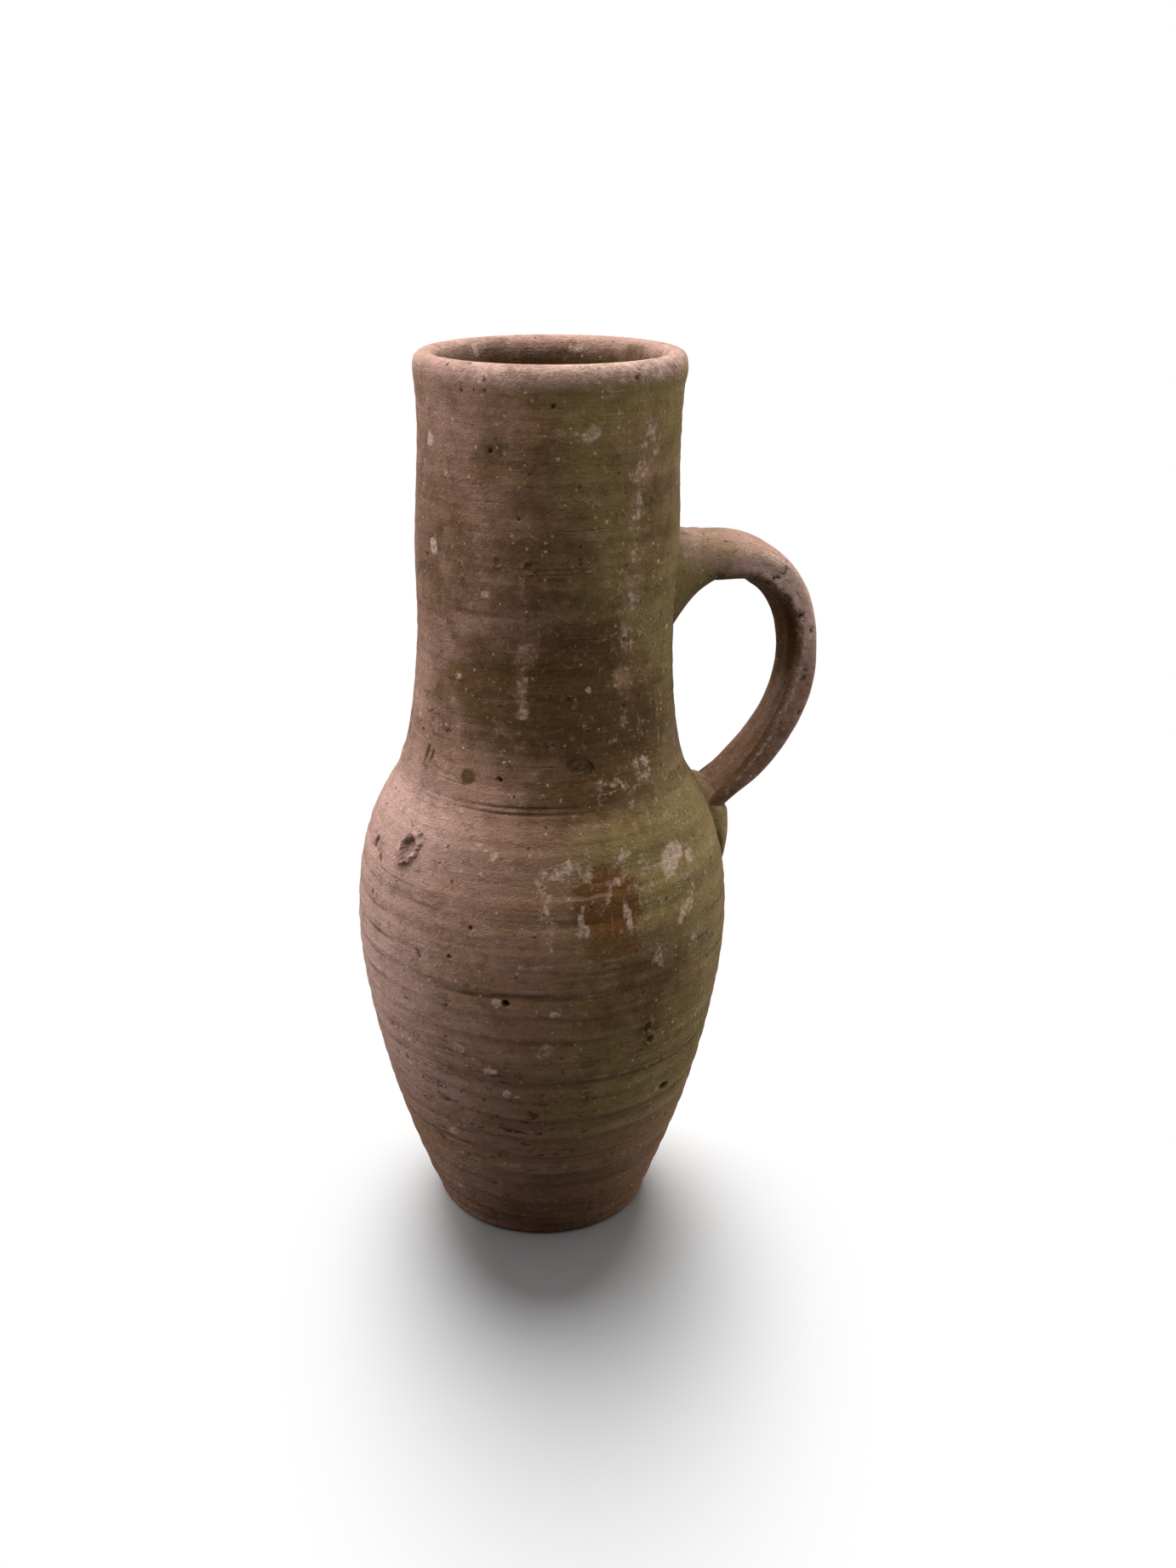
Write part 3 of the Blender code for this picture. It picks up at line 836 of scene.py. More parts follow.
class ClayTree(Tree):
    """Node tools of a clay material: its painted masks, the shared groups and layers of colour."""

    def __init__(self, tree, finish):
        super().__init__(tree)
        self.place = self.add("ShaderNodeTexCoord").outputs["Object"]
        self.painted = {}
        for mask in MASKS:
            self.painted[mask] = self.add("ShaderNodeAttribute", {"attribute_name": mask}).outputs["Fac"]
        self.grain = self.use("clay_grain", Contrast=GRAIN_CONTRAST)
        self.lines = self.use("throwing_lines", Spread=finish.spread)
        self.pins = self.specks(300.0, 0.26, finish.pin_share)
        self.small_specks = self.specks(480.0, 0.34, finish.speck_share)
        self.crumbs = self.specks(150.0, 0.20, 0.35 * finish.speck_share)
        self.mottle = self.range(self.noise(self.place, 170.0, 7.0, 0.72), 0.52, 0.70)
        tall = self.stretch(self.place, (1.0, 1.0, 0.6))
        self.blush = self.range(self.noise(tall, 150.0, 6.0, 0.7), 0.55, 0.72)
        thinnest = self.share(self.painted["chalk"], 0.5)
        thin = self.range(self.noise(self.place, 520.0, 5.0, 0.7), 0.36, 0.60, thinnest, 1.0)
        self.chalk = self.share(self.ragged("chalk", 330.0, 2.6, 0.30), thin)
        self.scuffs = self.use("scuffs", Mask=self.painted["scuffed"])["Mask"]
        self.tears = self.use("tears", Mask=self.painted["torn"])["Mask"]

    def use(self, group_name, **links):
        settings = {"node_tree": group(group_name)}
        return self.add("ShaderNodeGroup", settings, Vector=self.place, **links).outputs

    def specks(self, scale, size, share):
        return self.use("lime_specks", Scale=scale, Size=size, Share=share)["Mask"]

    def ragged(self, mask, scale, bite, edge):
        return self.use("ragged_edge", Mask=self.painted[mask], Scale=scale, Bite=bite, Edge=edge)["Mask"]

    def cover(self, colour, layers):
        """Lay colours over a colour one by one, each where its mask and share let it show."""
        for mask, share, setting in layers:
            colour = self.mix(self.share(mask, share), colour, shade(setting))
        return colour


def shade(setting):
    return (*getattr(bpy.context.scene.jug.clay, setting), 1.0)


def clay_colour(tools, finish):
    """Streaked terracotta under olive growth, soot, rust, scrapes and dirt, and under painted highlight and
    painted shade.
    """
    painted, lines = tools.painted, tools.lines
    level_place = tools.stretch(tools.place, (1.0, 1.0, 1.7))
    patch = tools.range(tools.noise(level_place, 34.0, 6.0, 0.62), 0.38, 0.64)
    stained = tools.math("ADD", tools.share(patch, 0.4), tools.share(painted["grimy"], 0.75))
    clear_of_soot_and_shade = tools.range(painted["soot"], 0.0, 1.0, 1.0, 0.3)
    blush_share = tools.share(tools.range(painted["grimy"], 0.0, 1.0, 0.35, 0.12), clear_of_soot_and_shade)
    clay = tools.mix(tools.range(stained, 0.0, 1.0), shade("terracotta"), shade("umber"))
    # Bloom and soot lay painted highlight and painted shade here as well as wear and deposits
    clay = tools.cover(
        clay,
        (
            (painted["worn"], 1.0, "bloom_and_highlight"),
            (tools.ragged("olive", 90.0, 1.3, 0.5), 0.9, "olive"),
            (tools.ragged("soot", 120.0, 1.3, 0.5), 0.9, "soot"),
            (tools.ragged("rust", 120.0, 0.9, 0.4), 0.9, "rust"),
            (tools.mottle, 0.40, "soot"),
            (tools.blush, blush_share, "bloom_and_highlight"),
        ),
    )
    streak_share = tools.range(painted["grimy"], 0.0, 1.0, 0.6 * finish.streak, 1.6 * finish.streak)
    streak = tools.math("ADD", tools.share(lines["Tone"], streak_share), 1.0)
    level = tools.share(streak, tools.grain["Tone"])
    tint = tools.add("ShaderNodeCombineColor", Red=level, Green=level, Blue=level).outputs[0]
    clay = tools.mix(1.0, clay, tint, "MULTIPLY")
    dust = tools.share(tools.range(tools.noise(tools.place, 1100.0, 3.0, 0.7), 0.62, 0.74), clear_of_soot_and_shade)
    # Chalk also lays painted highlight on the strap's near side here
    return tools.cover(
        clay,
        (
            (lines["Dark"], 0.24, "soot"),
            (tools.share(lines["Pale"], clear_of_soot_and_shade), 0.26, "chalk"),
            (tools.chalk, 0.74, "chalk"),
            (tools.scuffs, 0.46, "chalk"),
            (tools.tears, 0.85, "dirt"),
            (dust, 0.12, "chalk"),
            (tools.small_specks, 0.5, "lime"),
            (tools.crumbs, 0.6, "lime"),
            (tools.pins, 0.7, "dirt"),
            (tools.range(painted["hollow"], 0.25, 0.9), 1.0, "dirt"),
        ),
    )


def clay_relief(tools):
    """Bump of the clay: what stands out is added, what is sunk is taken away."""
    height = tools.math("ADD", tools.grain["Height"], tools.share(tools.lines["Tone"], 0.9))
    for mask, amount in (
        (tools.lines["Pale"], 0.4),
        (tools.small_specks, 0.25),
        (tools.crumbs, 0.6),
        (tools.chalk, 0.3),
        (tools.scuffs, 0.35),
        (tools.blush, 0.3),
        (tools.lines["Dark"], -0.5),
        (tools.pins, -0.9),
        (tools.mottle, -0.4),
        (tools.tears, -1.0),
    ):
        height = tools.math("ADD", height, tools.share(mask, amount))
    bump = tools.add("ShaderNodeBump", Strength=BUMP_STRENGTH, Distance=BUMP_DISTANCE, Height=height)
    return bump.outputs[0]


def clay_material(name):
    """Weathered earthenware with the finish of one piece."""
    finish = FINISHES[name]
    material = bpy.data.materials.new(f"{name}_clay")
    material.use_nodes = True
    tools = ClayTree(material.node_tree, finish)
    shader = material.node_tree.nodes["Principled BSDF"]
    tools.feed(shader, "Base Color", clay_colour(tools, finish))
    tools.feed(shader, "Roughness", tools.range(tools.grain["Tone"], 0.7, 1.3, 0.96, 0.84))
    tools.feed(shader, "Specular IOR Level", CLAY_SPECULAR)
    tools.feed(shader, "Normal", clay_relief(tools))
    return material


# Settings that a user would change


def colour_setting(name, description, default):
    return FloatVectorProperty(
        name=name, description=description, default=default, size=3, min=0.0, max=1.0, subtype="COLOR"
    )


def length_setting(name, description, default):
    return FloatProperty(name=name, description=description, default=default, min=0.0, unit="LENGTH")


def power_setting(name, description, default):
    return FloatProperty(name=name, description=description, default=default, min=0.0, unit="POWER")


def angle_setting(name, description, degrees):
    return FloatProperty(
        name=name, description=description, default=math.radians(degrees), subtype="ANGLE"
    )


class ClayColours(PropertyGroup):
    """Colours of the fired clay and of what has settled on it."""

    terracotta: colour_setting("Terracotta", "Clean fired clay", (0.192, 0.111, 0.086))
    umber: colour_setting("Umber", "Browner patches of the clay", (0.136, 0.072, 0.040))
    # Bloom also lays painted highlight on ridge crests, on the pot's side towards the left lamp and on the
    # strap's near side
    bloom_and_highlight: colour_setting("Bloom", "Clay worn pale and pink by handling", (0.302, 0.192, 0.162))
    olive: colour_setting("Olive", "Dull green growth on the damp side", (0.134, 0.098, 0.037))
    # Soot also lays painted shade in ridge undercuts, inside the pot, round the slip band and on the strap's
    # inner face
    soot: colour_setting("Soot", "Dark brown deposit", (0.048, 0.025, 0.007))
    rust: colour_setting("Rust", "Orange-brown iron stain", (0.082, 0.032, 0.009))
    # Chalk also lays painted highlight on the strap's near side by its crown
    chalk: colour_setting("Chalk", "Scrapes and drips where the growth has flaked off", (0.385, 0.275, 0.215))
    lime: colour_setting("Lime", "Pale specks of lime in the clay", (0.380, 0.290, 0.200))
    dirt: colour_setting("Dirt", "Earth left in pits and cracks", (0.028, 0.015, 0.007))


class ThrowingSettings(PropertyGroup):
    """How the body and the neck were thrown on the wheel."""

    segments: IntProperty(
        name="Segments", description="Divisions round the pot", default=384, min=48, max=512
    )
    outer_step: length_setting("Outer step", "Distance between rings on the outside", 0.00135)
    inner_step: length_setting("Inner step", "Distance between rings inside the pot", 0.0032)
    ridge_pitch: length_setting("Ridge pitch", "Rise of the throwing ridges in one turn", 0.0094)
    body_ridge: length_setting("Body ridge", "Height of the ridges on the body", 0.00038)
    neck_ridge: length_setting("Neck ridge", "Height of the ridges on the neck", 0.00018)
    wobble: length_setting("Wobble", "How far the walls stray from true round", 0.0005)


class StrapSettings(PropertyGroup):
    """Form of the pulled strap handle."""

    squareness: FloatProperty(
        name="Squareness", description="How square the strap's edges are, 2 for round", default=4.8, min=2.0
    )
    groove: length_setting("Groove", "Depth of the furrows along the inner face", 0.0021)
    wander: length_setting("Wander", "How far the hand-pulled strap strays from a true curve", 0.0006)


class StageSettings(PropertyGroup):
    """Where the camera stands and how strong the lamps are."""

    azimuth: angle_setting("Azimuth", "Camera's turn round the pot", -12)
    distance: length_setting("Distance", "Level distance from the pot's axis to the camera", 0.5792)
    height: length_setting("Height", "Camera's height above the floor", 0.40705)
    pitch: angle_setting("Pitch", "How far the camera looks down", 21.63)
    lens: FloatProperty(name="Lens", description="Focal length in millimetres", default=37.24, min=1.0)
    shift: FloatProperty(name="Shift", description="Sideways shift of the frame", default=0.0293)
    key: power_setting("Key", "Light from above and behind", 27.0)
    top: power_setting("Top", "Broad light from above and in front", 23.0)
    left: power_setting("Left", "Soft light from the left", 17.0)
    right: power_setting("Right", "Weaker light from the right", 11.6)
    ambient: FloatProperty(name="Ambient", description="Even light from all round", default=0.24, min=0.0)


class JugSettings(PropertyGroup):
    """All settings of the jug."""

    clay: PointerProperty(type=ClayColours)
    throwing: PointerProperty(type=ThrowingSettings)
    strap: PointerProperty(type=StrapSettings)
    stage: PointerProperty(type=StageSettings)


# The pieces


# Soft patches on the pot's outside: where each lies, how far it reaches, and its strength
Patch = namedtuple("Patch", "azimuth spread height rise strength")
DARK_PATCHES = (
    Patch(-106, 62, 0.226, 0.052, 1.0),
    Patch(-128, 36, 0.228, 0.042, 0.95),
    Patch(-104, 60, 0.275, 0.060, 0.72),
    Patch(-106, 45, 0.308, 0.030, 0.50),
    Patch(-86, 46, 0.230, 0.054, 1.3),
    Patch(-64, 48, 0.214, 0.048, 1.0),
    Patch(-80, 66, 0.196, 0.028, 0.90),
    Patch(-127, 18, 0.313, 0.034, 0.62),
    Patch(-150, 26, 0.224, 0.040, 0.60),
    Patch(-160, 55, 0.278, 0.085, 0.62),
    Patch(-152, 44, 0.192, 0.022, 0.34),
    Patch(-58, 50, 0.290, 0.075, 0.58),
    Patch(-138, 22, 0.275, 0.050, 0.66),
    Patch(-132, 30, 0.125, 0.065, 0.28),
    Patch(120, 80, 0.235, 0.075, 0.60),
    Patch(-69, 42, 0.122, 0.050, 0.70),
    Patch(140, 70, 0.090, 0.060, 0.40),
    Patch(78, 46, 0.150, 0.036, 0.42),
    Patch(172, 40, 0.200, 0.030, 0.45),
    Patch(60, 50, 0.300, 0.040, 0.36),
)
SCUFFED_PATCHES = (
    Patch(-52, 56, 0.196, 0.052, 1.0),
    Patch(-62, 52, 0.166, 0.048, 0.9),
    Patch(-62, 36, 0.245, 0.080, 0.6),
    Patch(-112, 34, 0.236, 0.056, 0.5),
    Patch(95, 80, 0.190, 0.070, 0.6),
)
TORN_PATCHES = (
    Patch(-118, 85, 0.066, 0.060, 1.0),
    Patch(-148, 40, 0.218, 0.050, 0.8),
    Patch(70, 85, 0.060, 0.060, 0.8),
)
# Paler clay: the patches at -179 and -166 degrees are a painted highlight on the side towards the left lamp
WORN_AND_LIT_PATCHES = (
    Patch(-179, 72, 0.125, 0.100, 0.85),
    Patch(-166, 72, 0.176, 0.032, 0.90),
    Patch(-80, 80, 0.174, 0.028, 0.08),
    Patch(90, 80, 0.172, 0.040, 0.40),
    Patch(-28, 40, 0.150, 0.060, 0.40),
)

# Heights between which the foot ends, the belly begins and ends, the neck begins and the rim begins
FOOT_RISE = (0.012, 0.034)
BELLY_RISE = (0.025, 0.050)
SHOULDER_RISE = (0.148, 0.172)
NECK_RISE = (JOINT_HEIGHT + 0.006, JOINT_HEIGHT + 0.024)
RIM_RISE = (NECK_RIM - 0.010, NECK_RIM - 0.002)

# Heights, and the azimuth where the olive growth begins at each
OLIVE_BORDER = ((0.05, 0.11, 0.19, 0.24, 0.33), (-104.0, -90.0, -88.0, -90.0, -101.0))


def patch_mask(azimuth, height, patches):
    """The strongest of a group of soft patches at each place."""
    mask = np.zeros(len(azimuth))
    for patch in patches:
        across = bell_round(azimuth, patch.azimuth, patch.spread)
        mask = np.maximum(mask, patch.strength * across * bell(height, patch.height, patch.rise))
    return mask


def rim_share(height):
    """How far a height lies on the rolled rim."""
    return smoothstep(*RIM_RISE, height)


def front_share(azimuth):
    """How far an azimuth faces the side that has been handled and stained most."""
    return bell_round(azimuth, -78.0, 95.0)


def rim_wear(azimuth, height):
    """How far the rim is worn, most of all in front."""
    return rim_share(height) * (0.45 + 0.55 * front_share(azimuth))


def weathering(azimuth, height):
    """How grimy, olive, sooty, rubbed pale, scuffed and torn the pot's outside is at each place, with a
    painted highlight on its side towards the left lamp.
    """
    border = np.interp(height, *OLIVE_BORDER)
    right = smoothstep(-24.0, 20.0, wrap_degrees(azimuth - border))
    sway = 18 * np.sin(70 * height) + 11 * np.sin(190 * height + 1.0)
    fade = 1 - smoothstep(-34.0, 26.0, azimuth + sway)
    rim = rim_share(height)
    olive = np.where(np.abs(azimuth) > 150, 0.0, right * fade)
    olive *= smoothstep(0.014, 0.095, height) * (1 - 0.72 * rim)
    low = 1 - smoothstep(0.03, 0.125, height)
    front = front_share(azimuth)
    back = 0.4 * bell_round(azimuth, 110.0, 100.0)
    dark = np.minimum(patch_mask(azimuth, height, DARK_PATCHES), 1.0)
    return {
        "grimy": np.maximum(np.maximum(front, back), 0.5 * low) * (1 - 0.8 * rim),
        "olive": olive * (1 - 0.70 * dark),
        "soot": dark,
        "worn": np.maximum(patch_mask(azimuth, height, WORN_AND_LIT_PATCHES), rim_wear(azimuth, height)),
        "scuffed": patch_mask(azimuth, height, SCUFFED_PATCHES),
        "torn": np.maximum(patch_mask(azimuth, height, TORN_PATCHES), 0.25),
    }


def wall_weathering(wall):
    """The weathering of a turned piece, on its outside only."""
    masks = weathering(wall.azimuth, wall.height)
    return {name: mask * wall.outside for name, mask in masks.items()}


def pad_weathering(points):
    """The weathering of a piece that is pressed onto the pot."""
    return weathering(np.degrees(np.arctan2(points[:, 1], points[:, 0])), points[:, 2])


def body_masks(wall, crest_highlight, undercut_shade, sunk):
    """What has settled on the body and rubbed off it, with painted highlight on the ridge crests and painted
    shade in their undercuts and inside the pot.
    """
    azimuth, height = wall.azimuth, wall.height
    foot = 1 - smoothstep(*FOOT_RISE, height)
    belly = smoothstep(*BELLY_RISE, height) * (1 - smoothstep(*SHOULDER_RISE, height)) * wall.outside
    masks = wall_weathering(wall)
    # Painted highlight on the ridge crests; painted shade in their undercuts and over the inside of the pot
    strengthen(masks, "worn", 0.62 * belly * crest_highlight)
    strengthen(masks, "soot", 0.98 * belly * undercut_shade, 0.3 * (1 - wall.outside))
    masks["rust"] = 0.34 * foot * (0.6 + 0.4 * bell(azimuth, -125, 70))
    strengthen(masks, "rust", mark_mask(wall.points, BODY_RUST, wall.ragged, 0.35))
    masks["rust"] *= wall.outside
    masks["chalk"] = mark_mask(wall.points, BODY_CHALK, wall.ragged, 0.3) * wall.outside
    masks["hollow"] = sunk * wall.outside
    return masks


class JUG_OT_turn_body(Operator):
    """Turn the pot-bellied body with its throwing ridges, pits and stains"""

    bl_idname = "jug.turn_body"
    bl_label = "Turn Body"

    def execute(self, context):
        throwing = context.scene.jug.throwing
        outline = fine_outline(half_section("body"), throwing.outer_step, throwing.inner_step)
        floor_height = outline[-1][1]
        spun = [(0.0, outline[0][1]), *outline, (0.0, floor_height)]
        piece = turn_piece("jug_body", spun, False, throwing.segments)
        subdivide_marks(piece, (*BODY_PITS, *BODY_DENTS, *BODY_BLISTERS))
        wall = Wall(read_points(piece), outline)
        low = 1 - smoothstep(0.04, 0.12, wall.height)
        wave, crest_highlight, undercut_shade = wall.ridges(throwing.ridge_pitch, 3)
        out = throwing.body_ridge * (0.82 + 0.35 * low) * wave
        out += throwing.wobble * cloud(wall.points, 16, 5)
        out += 0.25 * throwing.wobble * cloud(wall.points, 70, 6)
        joint = 1 - smoothstep(BODY_TOP - 0.020, BODY_TOP - 0.008, wall.height)
        out *= smoothstep(0.0015, 0.008, wall.height) * joint * wall.outside
        pits, in_pit = cut_marks(wall.points, BODY_PITS, wall.ragged)
        dents, in_dent = cut_marks(wall.points, BODY_DENTS, wall.ragged)
        lift, in_blister = raise_blisters(wall.points, BODY_BLISTERS, wall.ragged)
        out += wall.outside * (lift - pits - dents)
        write_points(piece, move_out(wall.points, out))
        sunk = np.maximum(in_pit, np.maximum(0.8 * in_dent, 0.46 * in_blister))
        finish_piece(piece, "body", body_masks(wall, crest_highlight, undercut_shade, sunk))
        return {"FINISHED"}


def above_joint(height):
    """How far a height on the neck lies above its joint with the body."""
    return smoothstep(*NECK_RISE, height)


def neck_masks(wall, inside, crest_highlight, undercut_shade, sunk):
    """Stains, drips and wear on the neck, painted highlight on its ridge crests, painted shade in their
    undercuts, and the inside of the mouth darkened by stains and painted shade.
    """
    azimuth, height = wall.azimuth, wall.height
    rim = rim_share(height)
    spots = mark_mask(wall.points, NECK_SPOTS, 0.25 * wall.ragged, 0.12) * wall.outside
    stain = mark_mask(wall.points, MOUTH_STAINS, wall.ragged, 0.4) * inside
    crust = mark_mask(wall.points, MOUTH_CRUST, wall.ragged, 0.3) * inside
    drips = mark_mask(wall.points, NECK_DRIPS, wall.ragged, 0.5) * wall.outside
    flush = 0.30 * bell(azimuth, -140, 36) * bell(height, 0.270, 0.070) * wall.outside
    rubbed = 0.55 * rim * bell_round(azimuth, -70.0, 80.0)
    masks = wall_weathering(wall)
    # Painted highlight on the ridge crests and painted shade in their undercuts
    strengthen(masks, "worn", 0.20 * wall.outside * crest_highlight, rim_wear(azimuth, height))
    strengthen(masks, "soot", 0.45 * wall.outside * undercut_shade * above_joint(height), spots, stain)
    # Painted shade over the inside of the mouth
    strengthen(masks, "soot", 0.92 * inside * (1 - 0.7 * rim))
    masks["olive"] *= 1 - 0.8 * drips
    masks["soot"] *= 1 - 1.3 * drips
    masks["rust"] = np.maximum(flush, 0.35 * inside * (1 - smoothstep(0.322, 0.336, height)))
    masks["chalk"] = mark_mask(wall.points, NECK_CHALK, wall.ragged, 0.3) * wall.outside
    strengthen(masks, "chalk", 0.80 * drips, crust, rubbed)
    masks["hollow"] = sunk * wall.outside
    return masks


class JUG_OT_turn_neck(Operator):
    """Turn the tall neck with its rolled rim, drips and specks"""

    bl_idname = "jug.turn_neck"
    bl_label = "Turn Neck"

    def execute(self, context):
        throwing = context.scene.jug.throwing
        outline = fine_outline(neck_section(), throwing.outer_step, throwing.inner_step * 0.7)
        piece = turn_piece("jug_neck", outline, True, throwing.segments)
        subdivide_marks(piece, (*NECK_PITS, *NECK_FLAKES, *NECK_BLISTERS))
        wall = Wall(read_points(piece), outline)
        shift = lean(wall.height)
        wall.points[:, 0] += shift
        inside = smoothstep(4.0 * MM, 6.0 * MM, wall.depth)
        wave, crest_highlight, undercut_shade = wall.ridges(throwing.ridge_pitch, 11)
        out = throwing.neck_ridge * wave * (wall.outside + 1.4 * inside)
        out += throwing.wobble * cloud(wall.points, 17, 12)
        out += 0.3 * throwing.wobble * cloud(wall.points, 75, 13)
        out *= above_joint(wall.height) * (1 - 0.5 * rim_share(wall.height))
        pits, in_pit = cut_marks(wall.points, NECK_PITS, wall.ragged)
        flakes, on_edge = flake_marks(wall.points, NECK_FLAKES, wall.ragged)
        lift, in_blister = raise_blisters(wall.points, NECK_BLISTERS, wall.ragged)
        out += wall.outside * (lift - pits - flakes)
        moved = wall.points.copy()
        moved[:, 0] -= shift
        moved = move_out(moved, out)
        moved[:, 0] += shift
        write_points(piece, moved)
        sunk = np.maximum(in_pit, 0.8 * np.maximum(on_edge, 0.3 * in_blister))
        finish_piece(piece, "neck", neck_masks(wall, inside, crest_highlight, undercut_shade, sunk))
        return {"FINISHED"}


# The slip is smeared a little way over body and neck, two fine lines are drawn round it, and a band of
# painted shade lies along them
BAND_LOW = 0.1745
BAND_HIGH = 0.1965
BAND_STEP = 0.00035
BAND_SOFTNESS = 0.0022
BAND_FEATHER = 0.005
BAND_LINES = (0.1868, 0.1889)
BAND_SHADE = 0.1882
LINE_WIDTH = 0.0009
LINE_DEPTH = 0.0006
LINE_STRAY = 0.0003
BAND_WAVER = 0.0002


def band_outline():
    """Section of the slip band: the solid's inner edge and an outer face feathered onto the walls."""
    heights = np.arange(BAND_LOW, BAND_HIGH, BAND_STEP)
    spread = np.linspace(-2.5, 2.5, 41)
    shares = np.exp(-(spread**2) / 2)
    shifted = [pot_radius(heights + offset * BAND_SOFTNESS) for offset in spread]
    outer = np.average(shifted, axis=0, weights=shares)
    feather = smoothstep(0.0, BAND_FEATHER, np.minimum(heights - BAND_LOW, BAND_HIGH - heights))
    outer += (0.80 * feather - 0.45) * MM
    lower, lower_front, upper_front, upper = half_section("neck_slip_ring")
    inner = [(upper_front[0] - MM, upper_front[1]), upper, lower, (lower_front[0] - MM, lower_front[1])]
    return [*zip(outer, heights), *inner]


class JUG_OT_lay_slip_ring(Operator):
    """Lay the ring of slip between body and neck, with the double line drawn round it"""

    bl_idname = "jug.lay_slip_ring"
    bl_label = "Lay Slip Ring"

    def execute(self, context):
        throwing = context.scene.jug.throwing
        outline = band_outline()
        piece = turn_piece("jug_slip_ring", outline, True, throwing.segments)
        wall = Wall(read_points(piece), outline)
        front = bell(wall.azimuth, -116, 56)
        drawn = np.maximum(front, 0.5 * bell(wall.azimuth, 60, 70))
        drawn = drawn * (0.8 + 0.5 * cloud(wall.points, 45, 23))
        lines = np.zeros(len(wall.points))
        for height in BAND_LINES:
            stray = height + LINE_STRAY * cloud(wall.points * (1, 1, 0), 30, 24)
            lines = np.maximum(lines, bell(wall.height, stray, LINE_WIDTH))
        out = BAND_WAVER * cloud(wall.points, 60, 21) - LINE_DEPTH * lines * drawn
        write_points(piece, move_out(wall.points, out * wall.outside))
        masks = weathering(wall.azimuth, wall.height)
        # A band of painted shade along the double line
        strengthen(masks, "soot", 0.3 * bell(wall.height, BAND_SHADE, 0.004))
        masks["hollow"] = 0.62 * lines * np.clip(drawn, 0.0, 1.0)
        finish_piece(piece, "neck_slip_ring", masks)
        return {"FINISHED"}


# The strap is measured round a point inside its finger gap, by angle from its crown to its foot
STRAP_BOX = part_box("handle")
STRAP_PIVOT = Vector((0.070, 0.0, 0.225))
STRAP_ANGLES = np.linspace(97.5, -90.0, 76)

# How far the strap is let into neck and shoulder, how deep its outer furrows are and how square its edges
STRAP_ROOT_DEPTH = 0.014
STRAP_FOOT_DEPTH = 0.010
OUTER_FURROW = 0.0004
ROOT_SQUARENESS = 2.8
NEAR_EDGE_SQUARENESS = 9.0

# How far the inner face is lifted (mm) at the two edges of the strap, by the angle from the finger gap
NEAR_EDGE = {
    -90: -2.4,
    -78: -3.6,
    -60: -4.6,
    -27: -3.2,
    4: -1.0,
    35: 1.6,
    50: 2.6,
    62: 2.6,
    76: 3.2,
    88: 1.4,
    98: 0.0,
}
FAR_EDGE = {-90: 2.4, -60: 2.2, -30: 2.0, 5: 1.5, 29: 0.4, 45: -0.8, 60: -2.0, 75: -2.0, 98: 0.0}

# Share of the solid's width that the strap has at its root
STRAP_ROOT_WIDTH = 0.94


def strap_stations():
    """Inner and outer points of the strap in the XZ plane and their angles, from neck to shoulder."""
    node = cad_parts["handle"]
    stations = []
    for angle in STRAP_ANGLES:
        turn = math.radians(angle)
        ray = Vector((math.cos(turn), 0.0, math.sin(turn)))
        found, near, _, _ = node.ray_cast(STRAP_PIVOT, ray)
        through, far, _, _ = node.ray_cast(near + ray * MM, ray)
        if found and through:
            stations.append((near.x, near.z, far.x, far.z, angle))
    if len(stations) < len(STRAP_ANGLES) // 2:
        raise RuntimeError("the handle's solid was not found round its finger gap")
    stations = np.array(stations)
    root = stations[0] - (STRAP_ROOT_DEPTH, 0.0, STRAP_ROOT_DEPTH, 0.0, 0.0)
    travel = stations[-1] - stations[-2]
    middle = (travel[:2] + travel[2:4]) / 2
    heading = middle / np.linalg.norm(middle)
    foot = stations[-1] + np.array([*heading, *heading, 0.0]) * STRAP_FOOT_DEPTH
    return np.vstack((root, stations, foot))


STRAP_STATIONS = strap_stations()


def edge_lift(table, angles):
    return np.interp(angles, list(table), list(table.values())) * MM


